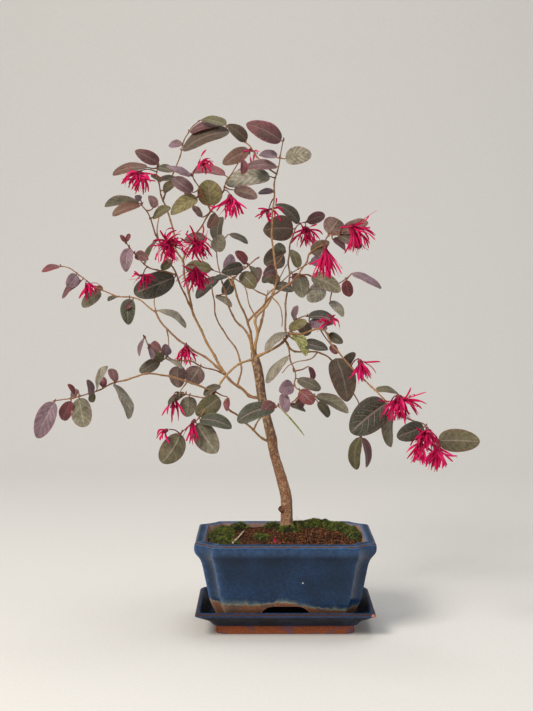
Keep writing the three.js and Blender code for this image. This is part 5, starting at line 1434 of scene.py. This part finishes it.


# %% [markdown]
# A shoot is the young end of a stem with its leaves, buds and stalks. It is one piece, because it
# grew as one. Each leaf is one row of numbers, read from the picture.

# %% Leafy shoots
# On what, the depth of its end and its route, then its leaves: foot (across, up), tip (across, up),
# width as seen (under zero when the back faces the viewer), depth of the tip from the foot, tone.
SHOOTS = {
    "shoot_top_left": dict(on="stem_left_tall", reach=74, route=[
        (-108, 369), (-103.7, 381.7), (-98.3, 395), (-92, 413), (-89.9, 421), (-84.5, 432),
        (-76.5, 440)],
        branch=dict(reach=26, route=[
            (-108, 369), (-110, 376), (-112, 385), (-113.5, 392), (-113, 399.5)]),
        leaves=[
            (-91, 414, -49, 431, 15, -8, "b"), (-85, 431, -57, 437, 8, -9, "m"),
            (-91, 419, -102, 420, 8, 14, "v"), (-98, 395, -113, 399, 8, 12, "g"),
            (-112, 403, -133, 414, 12, -6, "m"), (-122, 399, -153, 393, 8, 5, "n"),
            (-108, 379, -96, 385, 9, -14, "o"), (-110, 387, -94, 389, -5, -16, "s"),
            (-110, 387, -119, 391.5, -5, 8, "s")]),
    "shoot_left_shoulder": dict(on="stem_left_branch", reach=-22, route=[
        (-65.5, 360), (-72.5, 374.6), (-77.9, 384.3), (-81.9, 391.5)],
        leaves=[
            (-81, 392, -105, 400, 6, -8, "v"), (-66, 365, -69, 388, 22, -5, "l"),
            (-82, 377, -99, 390, 12, 10, "p"), (-74, 355, -81, 365, -6, -10, "p"),
            (-82, 372, -89, 377, -6, 6, "s"), (-78, 372, -101, 357, 13, -8, "l")]),
    "shoot_inner_top": dict(on="stem_left_branch", reach=-14, route=[
        (-65.5, 360), (-61, 367.4), (-54.7, 378), (-52, 386), (-47.6, 392.4), (-39.6, 406.6)],
        leaves=[
            (-53, 392, -82, 395, 8, 9, "r"), (-38, 407, -38, 393, 7, -10, "r"),
            (-45, 379, -24, 373, -11, -8, "p"), (-61, 357.6, -68, 345, 9, -8, "n")]),
    "shoot_top_right": dict(on="stem_centre_tall", reach=12, route=[
        (-9, 372.5), (-8.4, 388.3), (-4.4, 403.6), (-2.1, 418.3), (-1, 424)],
        branch=dict(reach=52, route=[
            (-6.9, 393), (-17.4, 401.3), (-24.9, 409.3), (-30.7, 417.7), (-36.2, 422.3),
            (-44, 429.7), (-51.2, 435)]),
        leaves=[
            (-3, 423, -34, 438, 17, -8, "m"), (1, 407, 24, 411, 16, -10, "w"),
            (-7, 408, -22, 411, 8, 14, "v"), (-6, 400, -34, 399, 9, -10, "m"),
            (-13, 391, -52, 384, 17, -6, "w"), (-10, 377, -23, 377, 6, 12, "v"),
            (-52, 437, -75, 441, 8, 10, "o"), (-34, 423, -51, 437, 12, -9, "b"),
            (-32, 415, -55, 402, 13, -8, "n")]),
    "shoot_left_wing": dict(on="stem_left_parallel", reach=-40, route=[
        (-112.1, 334.5), (-114.4, 339.4), (-118.4, 350.2), (-122.9, 360.9), (-127.4, 366)],
        leaves=[
            (-129, 367, -160, 364, -8, 8, "s"), (-128, 365, -153, 356, 8, -6, "n"),
            (-117, 355, -101, 363, 8, -12, "o"), (-117, 363, -119, 374, 8, 12, "m"),
            (-128, 370, -133, 374, 6, -6, "v")]),
    "shoot_left_curl": dict(on="stem_left_parallel", reach=-34, route=[
        (-95.7, 303), (-103.7, 306), (-109.9, 306.9), (-119, 309.3), (-125.2, 313.1),
        (-132.2, 321.1), (-141, 331.8)],
        leaves=[
            (-139, 328, -141, 306, 11, -8, "v"), (-133, 323, -121, 317, 9, -12, "m"),
            (-124, 314, -113, 334, 4, 8, "o"), (-98, 301, -134, 287, 22, -8, "d"),
            (-110, 307, -101, 317, 8, 12, "o"), (-141, 333, -146, 339, 4, -4, "r"),
            (-141, 333, -138, 340, 4, 4, "r")]),
    "shoot_upper_left": dict(on="limb_upper_left", reach=96, route=[
        (-114.4, 270.2), (-121.2, 275.2), (-129.8, 281.5), (-136.6, 283.8), (-149.5, 284.4),
        (-160.8, 289.5), (-169.9, 293.5), (-183, 303.7), (-196.1, 311), (-204, 311.6)],
        leaves=[
            (-185, 304, -193, 292, 12, -12, "v"), (-181, 298, -198, 283, 6, 8, "m"),
            (-164, 289, -180, 275, -12, -8, "s"), (-147, 285, -157, 280, -4, 10, "s"),
            (-138, 282, -139, 259, 14, -8, "e"), (-112, 272, -88, 256, 7, -6, "w"),
            (-136, 279, -142, 273, 6, -8, "m"), (-162, 292, -168, 289, 6, 10, "n"),
            (-199, 311, -216, 306, 6, -6, "r")]),
    "shoot_arch_tip": dict(on="limb_arch", reach=-84, route=[
        (-137.5, 211.2), (-151.6, 207.2), (-164, 201.6), (-169.2, 199.3), (-179.3, 196.1),
        (-190.7, 193.6), (-204.3, 191.4)],
        leaves=[
            (-204, 190, -220, 158, 16, -6, "v"), (-190, 191, -197, 174, 11, 10, "r"),
            (-183, 195, -178, 168, -17, -8, "s"), (-173, 196, -176, 210, 6, -8, "v"),
            (-168, 201, -157, 222, 6, -10, "w"), (-162, 203, -163, 214, 7, 12, "r"),
            (-151, 208, -154, 220, 8, 14, "m"), (-151, 206, -139, 175, 9, -14, "w"),
            (-184, 201, -190, 194, 6, 8, "v"), (-169, 198, -172, 190, 6, 8, "o"),
            (-187, 197, -193, 206, 4, -6, "r")]),
    "shoot_left_inner": dict(on="limb_left", reach=-22, route=[
        (-51, 213.3), (-58, 217.5), (-70.8, 220.6), (-81.4, 225.9), (-100.8, 228.7),
        (-105.9, 232.2), (-116.1, 234.4), (-124.7, 248.2)],
        leaves=[
            (-110, 236, -119, 242, 10, 14, "m"), (-104, 231, -106, 242, 9, -12, "v"),
            (-107.6, 228, -118.6, 235, 8, -10, "o"), (-111, 227, -129, 217, 11, -8, "g"),
            (-126, 246, -129, 231, 4, -6, "v"), (-121, 239, -118, 228, 5, -8, "v"),
            (-74, 223, -85, 207, -18, -8, "p"), (-95, 222, -94, 203, -15, 8, "p"),
            (-105, 229, -91, 220, 4, -6, "w")]),
    "shoot_low_left": dict(on="limb_arch", reach=-50, route=[
        (-60.5, 202.5), (-67.2, 188.5), (-75.2, 177.3), (-80.5, 172.5), (-92.8, 162)],
        branch=dict(reach=4, route=[
            (-60.5, 202.5), (-69.6, 194.4), (-77.5, 194.6), (-83.7, 196.3), (-94.8, 199)]),
        leaves=[
            (-58, 194, -79, 179, 17, -12, "o"), (-75, 175, -47, 167, 12, -6, "e"),
            (-57, 204, -72, 196, 7, -6, "s"),
            (-78, 171, -60, 145, -20, -6, "s"), (-92, 163.5, -109, 136, -20, -8, "o"),
            (-85, 195, -87, 177, -15, 5, "s"), (-95, 199, -103, 187, 4, -12, "g"),
            (-88, 196, -101, 185, 4, 14, "g"), (-50.3, 194, -51, 182, 5.5, -6, "r")]),
    "shoot_centre_left": dict(on="stem_centre_left", reach=92, route=[
        (-50.5, 279.8), (-53, 290), (-55.6, 296.2), (-57.4, 306), (-60.5, 321.2), (-59.5, 331)],
        leaves=[
            (-62, 325, -55, 339, 14, -12, "w"), (-60, 332, -56, 355, 12, 12, "g"),
            (-52, 303, -62, 299, 6, -14, "d"), (-58, 300, -79, 283, 11, 8, "d"),
            (-61, 285, -47, 275, 6, -6, "w"), (-69.9, 336.3, -89.4, 333.6, -11, 6, "p"),
            (-49, 339.4, -32.5, 331.8, 6, 8, "g")]),
    "shoot_centre_fork": dict(on="stem_centre_fork", reach=-62, route=[
        (-46.5, 298), (-38.5, 307), (-30.5, 313.2), (-23.6, 318.5)],
        leaves=[
            (-39, 306, -26, 292, 13, -8, "o"), (-32, 313, -24, 300, -5, 8, "s"),
            (-37, 311, -56, 306, 11, -8, "d"), (-34, 314, -44, 324, 8, -12, "r")]),
    "shoot_centre_right": dict(on="stem_centre_tall", reach=46, route=[
        (-8.2, 310.5), (-3.3, 317.8), (0, 323)],
        leaves=[
            (-1, 324, -18, 313, 20, -6, "b"), (1, 325, -9, 329, -9, -12, "g"),
            (-8, 309, -19, 304, 10, -10, "m"), (-9, 294, 8, 289, 9, -6, "d"),
            (-8, 306, -20, 297, 9, 8, "g")]),
    "shoot_right_inner": dict(on="limb_right", reach=84, route=[
        (5.3, 332), (8.6, 340.5), (9.2, 344.5), (13, 348.5), (20, 350.5)],
        leaves=[
            (14, 349, -8, 366, 11, -6, "g"), (8, 345, -19, 343, 24, -6, "b"),
            (19, 350, 36, 357, 11, 8, "m")]),
    "shoot_right_crest": dict(on="stem_right_upper", reach=-88, route=[
        (20, 314.9), (22.3, 321.8), (28.5, 327.5), (34.7, 331.4), (39.2, 338), (49, 340)],
        leaves=[
            (22, 323, 40, 333, 11, -8, "b"), (39, 340, 48, 353, -18, -10, "p"),
            (51, 341, 74, 351, 10, 8, "n"), (48, 338, 68, 327, 9, -8, "b"),
            (43, 335, 54, 324, 6, 12, "m")]),
    "shoot_right_middle": dict(on="stem_right_upper", reach=-14, route=[
        (12, 303.6), (22, 303), (33, 297), (46, 295), (55, 300)],
        leaves=[
            (23, 303, 50, 289, -14, -8, "s"), (61, 305, 86, 291, 7, -8, "v"),
            (55, 299, 58, 284, 10, 12, "r"), (34, 295, 21, 280, 15, -10, "w"),
            (13, 301, 16, 283, -15, 10, "s"), (41, 280, 52, 266, 8, -8, "w")]),
    "shoot_right_cluster": dict(on="limb_right", reach=22, route=[
        (3.5, 249.5), (6.5, 257), (10, 263), (18.3, 266.9), (27.2, 265.1)],
        leaves=[
            (8, 252, 19, 231, 10, -12, "y"), (2, 252, -17, 235, 8, -10, "w"),
            (4, 256, 20, 262, 9, -6, "l"), (22, 262, 38, 255, 10, -10, "v"),
            (20, 267, 47, 262, 8, 10, "d"), (12, 262, 22, 250, 12, 12, "b"),
            (27, 263, 44, 260, 8, -10, "m"), (8, 264, 12, 276, 6, -8, "v"),
            (16.5, 242.8, 38.7, 236.6, 10, -8, "d"), (39.6, 250.8, 52, 242.8, 9, -10, "s"),
            (41.4, 241, 46.7, 233, 7, -6, "r")]),
    "shoot_right_hanging": dict(on="limb_right", reach=-34, route=[
        (0.5, 246.5), (3.5, 238), (5.4, 228), (10, 211.7), (9, 205.4), (16, 199), (26, 196)],
        leaves=[
            (8.5, 205, -5, 200, 13, -8, "v"), (-1, 198, 2, 181, 9.5, -6, "v"),
            (13, 202, 26, 189, 12, -8, "r"), (12, 211, 32, 201, 10, -8, "g"),
            (3, 231, -16, 207, 8, -8, "w"),
            (28, 195, 57, 181, -10, -8, "s"), (29.8, 190.3, 39.6, 177, 8, 6, "s"),
            (5, 187.7, 18.7, 182.3, 5, 6, "s"), (10, 190, 18, 188.5, 8, 8, "m"),
            (21.8, 221.5, 24, 207.7, 5, 6, "r")]),
    "shoot_right_lower": dict(on="limb_right_lower", reach=84, route=[
        (42.4, 226.5), (49.1, 214.5), (54.5, 206.7), (61.3, 197.6), (65.9, 190.2), (68.1, 174.3),
        (68.1, 160.1)],
        leaves=[
            (46.5, 229, 56, 190.5, 23, -12, "b"), (50, 218, 63, 234, 9, -8, "b"),
            (67, 159, 64, 130, 12, -6, "o"), (69, 158, 73, 132, 7, 8, "m")]),
    "shoot_right_tip": dict(on="limb_right_long", reach=-92, route=[
        (76.6, 204.5), (88.6, 193.1), (95.7, 186.8), (106.3, 177.4), (115, 173.7), (125, 169.3),
        (127.5, 161.8), (134.8, 156.3)],
        leaves=[
            (92, 190, 59, 163, 27, -9, "d"), (81, 202, 102, 197, 5, 10, "o"),
            (124, 168, 100, 159, 15, -10, "d"), (137, 156, 174, 155, -19, 4, "o"),
            (96, 185, 95, 150, -9, 8, "s")]),
    "shoot_low_right": dict(on="limb_low_left", reach=-24, route=[
        (-27, 165.8), (-22.3, 175.1), (-9.8, 184.2), (0.4, 190.1)],
        leaves=[
            (-8, 186, -42, 173, 15, -8, "e"), (-10, 190, -20, 180, 11, -4, "m"),
            (-5, 186, 18, 160, 1.6, -6, "y")]),
    "shoot_back_right": dict(on="limb_back", reach=138, route=[
        (-16, 285), (-4, 296), (8, 306), (22, 314)],
        leaves=[
            (-4, 297, -18, 306, 12, 12, "d"), (6, 305, 20, 296, 12, 14, "m"),
            (12, 309, 6, 326, 10, 10, "o"), (22, 314, 44, 318, 12, 12, "v")]),
    "shoot_back_left": dict(on="limb_back", reach=132, route=[
        (-16, 285), (-30, 292), (-48, 302), (-64, 308)],
        leaves=[
            (-30, 293, -22, 310, 12, 14, "m"), (-46, 301, -54, 286, 12, 10, "d"),
            (-50, 304, -48, 322, 12, 14, "v"), (-65, 308, -88, 310, 14, 10, "o")]),
}
SHOOT_RADII = (0.95, 0.62)
SHOOT_YOUTH = (0.25, 0.9)
SHOOT_COLLAR = 0.3
LEAST_PETIOLE = 1.5
BUD_TINT = colour("#7a4a44")
END_BUD_LENGTHS = (3, 5)
SIDE_BUD_LENGTHS = (2, 3.2)
SIDE_BUD_CHANCE = 0.6


def grow_shoot(name, spec):
    """One leafy shoot: its stem or stems, the buds at their ends, and each leaf on its stalk."""
    draw = random.Random(name)
    lines_of[name] = lines_on(spec, spec["on"])
    shoot = Piece(name.replace("shoot", "leafy"))
    for line in lines_of[name]:
        grow_stem(shoot, points_of(line), *SHOOT_RADII, draw, SHOOT_YOUTH, collar=SHOOT_COLLAR)
        end, before = line[-1][2], line[-2][2]
        add_bud(shoot, end - (end - before).normalized(), end - before,
                draw.uniform(*END_BUD_LENGTHS), BUD_TINT)
    for u0, v0, u1, v1, seen, lean, tone in spec["leaves"]:
        _, depth, foot = nearest(lines_of[name], (u0, v0))
        start, end = place((u0, v0), depth), place((u1, v1), depth + lean)
        along = (end - start).normalized()
        if (start - foot).length < LEAST_PETIOLE:
            start = foot + along * LEAST_PETIOLE
        add_petiole(shoot, foot, start, along, draw)
        add_leaf(shoot, start, end, seen, tone, draw)
        if draw.random() < SIDE_BUD_CHANCE:
            bud_way = Vector((draw.gauss(0, 0.5), draw.gauss(0, 0.5), 1))
            add_bud(shoot, foot, bud_way, draw.uniform(*SIDE_BUD_LENGTHS), BUD_TINT)
    return shoot.build([TWIG_BARK, LEAF_FACE, LEAF_BACK])


for name, spec in SHOOTS.items():
    total += settle(grow_shoot(name, spec), "leaf", name)
print("leaves:", sum(len(spec["leaves"]) for spec in SHOOTS.values()))


# %% [markdown]
# The plant is named for its petals, which are narrow strips like a fringe, 15 to 20 mm long and under
# 2 mm wide. Each small flower has four, and several flowers share a head on a short stalk. The
# strips leave the flower together, spread, and hang under their own weight, twisting as they go. They
# are so thin that they glow in the light: crimson near the calyx, hot pink further out.

# %% Petals and heads
PETAL_DEEP = colour("#ac0842")
PETAL_BRIGHT = [colour(hex_value) for hex_value in ("#f41070", "#e00a62", "#fc2a88", "#e81068")]
CALYX_TINT = colour("#7c3540")
PETAL_STEPS = 11
PETAL_WIDTH = 1.5
PETAL_HALF_THICKNESS = 0.12
# A petal's flat six-sided section, in shares of its half width and half thickness.
PETAL_SECTION = ((1, 0), (0.5, 1), (-0.5, 1), (-1, 0), (-0.5, -1), (0.5, -1))
PETAL_WEIGHTS = (0.12, 0.34)
PETAL_TWIST = (-0.35, 0.35)
# Petals are counted in the picture; these many more of them hide behind each other.
PETAL_PLENTY = 1.6
PETALS_EACH = 4
# How far petals spread in a head that isn't pulled; the more it is pulled, the less they do.
OPENNESS = 0.4
HEAD_STALK_RADII = (0.6, 0.45)
# The calyx, as (how far along, radius), and where on it the petals start.
CALYX = ((0, 0.5), (0.9, 1), (2, 1.15), (2.9, 0.85))
CALYX_MOUTH = 2.4

petal_finish, node = start_material("crimson living petal")
tint = node("Attribute", attribute_name="tint", out="Color")
mark = node("Attribute", attribute_name="mark", out="Vector")
lengthwise = node("Mapping", {"Vector": mark, "Scale": (1, 1, 0.15)})
streaks = node("TexNoise", {"Vector": lengthwise, "Scale": 3, "Detail": 2}, "Fac")
shade = node("ValToRGB", {0: streaks}, stops=[(0.36, "#dcc8d0"), (0.6, "#ffffff")])
pink = node("Mix", {0: 1, 6: tint, 7: shade}, 2, **TINTING)
crease = node("Bump", {"Height": streaks, "Strength": 0.4, "Distance": 0.1 * MM})
silky = node("BsdfPrincipled", {"Base Color": pink, "Roughness": 0.55, "Normal": crease,
                                "Specular IOR Level": 0.2, "Sheen Weight": 0.05})
through = node("BsdfTranslucent", {"Color": pink})
node("OutputMaterial", {"Surface": node("MixShader", {0: 0.3, 1: silky, 2: through})})


def add_petal(piece, foot, axis, out, length, draw, heaviness=1, openness=OPENNESS):
    """One strip: along the flower's axis first, then outwards, then down."""
    step = length / PETAL_STEPS
    point, direction = Vector(foot), axis.copy()
    weight = draw.uniform(*PETAL_WEIGHTS) * heaviness
    curl = Vector((draw.gauss(0, 1), draw.gauss(0, 1), draw.gauss(0, 1)))
    curl *= 0.04 + 0.28 * openness
    twist = draw.uniform(*PETAL_TWIST)
    side = axis.cross(out).normalized()
    bright = draw.choice(PETAL_BRIGHT)
    rings, tints = [], []
    for k in range(PETAL_STEPS + 1):
        t = k / PETAL_STEPS
        side = (side - direction * side.dot(direction)).normalized()
        flat = direction.cross(side)
        side, flat = (side * math.cos(twist) + flat * math.sin(twist),
                      flat * math.cos(twist) - side * math.sin(twist))
        half = PETAL_WIDTH / 2 * (0.55 + 0.75 * math.sin(math.pi * min(1, 0.15 + 0.8 * t)))
        half *= 1 if t < 0.95 else 0.55
        rings.append([tuple(point + side * half * a + flat * PETAL_HALF_THICKNESS * b)
                      for a, b in PETAL_SECTION])
        tints += [mixed(PETAL_DEEP, bright, min(1, t * 2.2))] * len(PETAL_SECTION)
        direction += out * openness * max(0, 1 - 2.4 * t) - UP * weight * (0.3 + t) + curl
        direction.normalize()
        point += direction * step
    points, faces = ring_skin(rings)
    marks = [(a, 0, step * k) for k in range(len(rings)) for a, _ in PETAL_SECTION]
    piece.add(points, faces, 0, tints, marks)


def add_head(piece, centre, foot, pull, petals, reach, draw):
    """Stalk, then small flowers with four petals each, facing mostly the way they are pulled."""
    middle = foot.lerp(centre, 0.5) + UP * 0.12 * (centre - foot).length
    line = smooth_line([foot, middle, centre], 1)
    stalk = np.linspace(*HEAD_STALK_RADII, len(line))
    points, faces, marks = tube(*round_ends(line, stalk), SMALL_STEM_SIDES)
    piece.add(points, faces, 1, CALYX_TINT, marks)
    flowers = max(1, round(petals * PETAL_PLENTY / PETALS_EACH))
    openness = OPENNESS / (0.6 + pull.length)
    for flower in range(flowers):
        turn = FULL_TURN * (flower + draw.random() * 0.6) / flowers
        spread = Vector((math.cos(turn), 0.8 * math.sin(turn), 0.7 * math.sin(turn * 1.7 + 1)))
        axis = (pull * 1.3 + spread * draw.uniform(0.3, 0.7)).normalized()
        root = centre + axis * 0.8
        points, faces, marks = tube([root + axis * along for along, _ in CALYX],
                                    [radius for _, radius in CALYX], SMALL_STEM_SIDES)
        piece.add(points, faces, 1, mixed(CALYX_TINT, PETAL_DEEP, draw.random() * 0.5), marks)
        side = axis.orthogonal().normalized()
        other = axis.cross(side)
        for k in range(PETALS_EACH):
            around = FULL_TURN * (k + draw.uniform(-0.2, 0.2)) / PETALS_EACH + turn
            out = side * math.cos(around) + other * math.sin(around)
            add_petal(piece, root + axis * CALYX_MOUTH + out * 0.5, axis, out,
                      reach * draw.uniform(0.8, 1.1), draw, openness=openness)


# %% [markdown]
# Each head is placed on the nearest stem. The pull says which way its petals hang or reach in
# the picture. Some heads are pieces of the fixed model; smaller or half-hidden ones are added here and
# ride on the same plant.

# %% Flower heads
# Stem, how far the head stands before it, and heads: (across, up), pull (across, up), petals, reach.
FLOWERS = {
    "flower_crest_left": ("shoot_top_left", -6, [((-129, 396), (-0.1, -0.5), 30, 18)]),
    "flower_top_centre": ("shoot_inner_top", -14, [((-49, 376), (0.2, -1.1), 20, 20)]),
    "flower_left_shoulder": ("stem_left_parallel", -12, [((-103, 333), (0, -0.2), 32, 19)]),
    "flower_left_middle": ("stem_left_tall", -18, [((-80, 333), (0.2, -0.2), 32, 17)]),
    "flower_left_inner": ("stem_left_tall", -18, [((-79, 311), (0.1, -0.7), 34, 20)]),
    "flower_far_left": ("shoot_upper_left", -12, [((-177, 296), (0.4, -0.5), 12, 13)]),
    "flower_left_low": ("limb_upper_left", -10, [((-87, 242), (0, -1), 14, 17)]),
    "flower_right_crest": ("shoot_right_crest", -12, [((55, 348), (1, -0.5), 24, 23)]),
    "flower_right_middle": ("shoot_right_crest", -12, [((36, 330), (0.1, -2.4), 24, 24)]),
    "flower_right_hanging": ("limb_right_long", -8, [((66, 229), (0.5, -1.3), 16, 17)]),
    "flower_right_large": ("shoot_right_tip", -10, [((101, 197), (0.1, -0.6), 34, 22)]),
    "flower_right_tip": ("shoot_right_tip", -10, [((128, 167), (-0.2, -0.6), 22, 17),
                                                  ((121.5, 158), (-0.2, -1.1), 18, 18),
                                                  ((136, 154), (0, -1.2), 26, 19)]),
    "blossom_top_left": ("shoot_left_shoulder", -6, [((-77, 401), (0.5, 0.3), 10, 12)]),
    "blossom_top_middle": ("shoot_top_right", 6, [((-14, 362), (0, -0.3), 10, 13)]),
    "blossom_top_bit": ("shoot_top_right", 4, [((-30.7, 414), (0, -0.4), 4, 10)]),
    "blossom_right_inner": ("shoot_right_inner", -8, [((19, 347), (0, -0.6), 22, 18)]),
    "blossom_right_low": ("limb_right_long", -6, [((40.5, 259), (-0.2, 0.4), 8, 12)]),
    "blossom_left_wing": ("shoot_left_curl", 8, [((-125.9, 304), (0, -0.3), 10, 12)]),
    "blossom_low_left": ("shoot_low_left", -4, [((-102.8, 166), (-0.4, -0.2), 5, 12),
                                               ((-81, 175), (-0.2, -1.2), 8, 19),
                                               ((-98, 198), (0, -1.4), 5, 21)]),
    "blossom_centre": ("limb_right", -8, [((8.5, 300), (0.2, -0.4), 5, 10)]),
}

HEADS_FORWARD = -0.25
# Petals that have dropped on the soil, and how long they are.
FALLEN_PETALS = [(-8, -40), (-3, -38), (4, -41)]
FALLEN_PETAL_LENGTHS = (4, 7)

flower_total = 0
for name, (carrier, before, heads) in FLOWERS.items():
    draw = random.Random(name)
    blossom = Piece(name.replace("flower", "fringe"))
    for drawn, pull, petals, reach in heads:
        _, depth, foot = nearest(lines_of[carrier], drawn)
        centre = place(drawn, depth + before)
        pull = Vector((pull[0], HEADS_FORWARD, pull[1]))
        add_head(blossom, centre, foot, pull, petals, reach, draw)
    fixed = [name] if name.startswith("flower") else []
    flower_total += settle(blossom.build([petal_finish, TWIG_BARK]), "petal", *fixed)

draw = random.Random("fallen petals")
fallen = Piece("blossom_fallen")
for x, y in FALLEN_PETALS:
    turn = FULL_TURN * draw.random()
    along = Vector((math.cos(turn), math.sin(turn), 0))
    add_petal(fallen, (x, y, soil_height(x, y) + 1), along, along.cross(UP) * 0.2,
              draw.uniform(*FALLEN_PETAL_LENGTHS), draw, heaviness=0.1)
flower_total += settle(fallen.build([petal_finish]), "petal")
total += flower_total
print("petals and heads:", flower_total, "triangles; whole tree and pot:", total)


# %% [markdown]
# The plant is shown as a small studio would: on a plain pale sheet that curves up behind it, under one
# large soft light from the front left, with one overhead and a weaker one to fill the right. Large
# lights give soft shadow edges and broad, quiet reflections in the glaze.

# %% Sheet and light
paper, node = start_material("matt pale paper")
where = node("TexCoord", out="Object")
fibre = node("TexNoise", {"Vector": where, "Scale": repeats(3), "Detail": 3}, "Fac")
pale = node("ValToRGB", {0: fibre}, stops=[(0.3, "#d9d7d3"), (0.7, "#dedcd8")])
node("OutputMaterial", {"Surface": node("BsdfPrincipled", {"Base Color": pale, "Roughness": 0.95,
                                                          "Specular IOR Level": 0.1})})
SHEET_HALF_WIDTH = 8000
SHEET_FRONT = -8000
SHEET_BEND_START = 900
SHEET_BEND_RADIUS = 900
SHEET_BEND_STEPS = 24
SHEET_TOP = 2600

profile = [(SHEET_FRONT, 0), (SHEET_BEND_START, 0)]
for step in range(1, SHEET_BEND_STEPS + 1):
    turn = math.pi / 2 * step / SHEET_BEND_STEPS
    profile.append((SHEET_BEND_START + SHEET_BEND_RADIUS * math.sin(turn),
                    SHEET_BEND_RADIUS * (1 - math.cos(turn))))
profile.append((SHEET_BEND_START + SHEET_BEND_RADIUS, SHEET_TOP))
sheet = Piece("paper_sheet")
points = [(x, y, z) for x in (-SHEET_HALF_WIDTH, SHEET_HALF_WIDTH) for y, z in profile]
long = len(profile)
sheet.add(points, [(k + long, k + 1 + long, k + 1, k) for k in range(long - 1)])
# The saucer's foot is at height zero in the model, and the sheet with it.
paper_sheet = sheet.build([paper], lift=0)
paper_sheet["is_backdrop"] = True


LIGHT_AIM = Vector((0, 0, 0.24))


def soft_light(name, position, size, power, tint):
    """Square area light aimed at the middle of the tree; metres and watts."""
    lamp = bpy.data.lights.new(name, "AREA")
    lamp.shape = "SQUARE"
    lamp.size = size
    lamp.energy = power
    lamp.color = colour(tint)[:3]
    holder = bpy.data.objects.new(name, lamp)
    holder.location = position
    holder.rotation_euler = (LIGHT_AIM - holder.location).to_track_quat("-Z", "Y").to_euler()
    bpy.context.scene.collection.objects.link(holder)


soft_light("key_light", (-1.1, -1.3, 1.5), 0.85, 43, "#fff8ee")
soft_light("fill_light", (1.6, -0.9, 0.9), 1.4, 5, "#f2f6ff")
soft_light("top_light", (0.2, 0.3, 2.2), 1, 14, "#ffffff")

ROOM_TINT = colour("#e6e8ea")
ROOM_STRENGTH = 0.36
world = bpy.data.worlds.new("pale studio")
world.use_nodes = True
room = world.node_tree.nodes["Background"]
room.inputs["Color"].default_value = ROOM_TINT
room.inputs["Strength"].default_value = ROOM_STRENGTH
bpy.context.scene.world = world
bpy.context.scene.view_settings.view_transform = "Standard"


# %% [markdown]
# The picture was taken from 1.2 m in front of the pot, a little above the middle of the tree. Upright
# edges stay parallel in it, so the camera is level, and the frame is lowered by a shift of the lens.

# %% Camera
PICTURE_HEIGHT = 711
FOCAL_PIXELS = 1365
SENSOR = 36
HORIZON_ABOVE_MIDDLE = 80.7
camera_data = bpy.data.cameras.new("camera")
camera_data.sensor_fit = "AUTO"
camera_data.sensor_width = SENSOR
camera_data.lens = SENSOR * FOCAL_PIXELS / PICTURE_HEIGHT
camera_data.shift_y = -HORIZON_ABOVE_MIDDLE / PICTURE_HEIGHT
camera = bpy.data.objects.new("camera", camera_data)
camera.location = (EYE + UP * TABLE_DROP) * MM
camera.rotation_euler = (math.pi / 2, 0, 0)
bpy.context.scene.collection.objects.link(camera)
bpy.context.scene.camera = camera
print("lens", round(camera_data.lens, 2), "mm, shift", round(camera_data.shift_y, 4))


# %% [markdown]
# Last, the finished model's box is printed next to the fixed model's, so the two can be compared.

# %% Sizes
visual_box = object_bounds()
numbers = [[[float(c) for c in corner] for corner in box] for box in (cad_box, visual_box)]
for name, box in zip(("fixed", "finished"), numbers):
    print(name, [[round(c, 4) for c in corner] for corner in box])
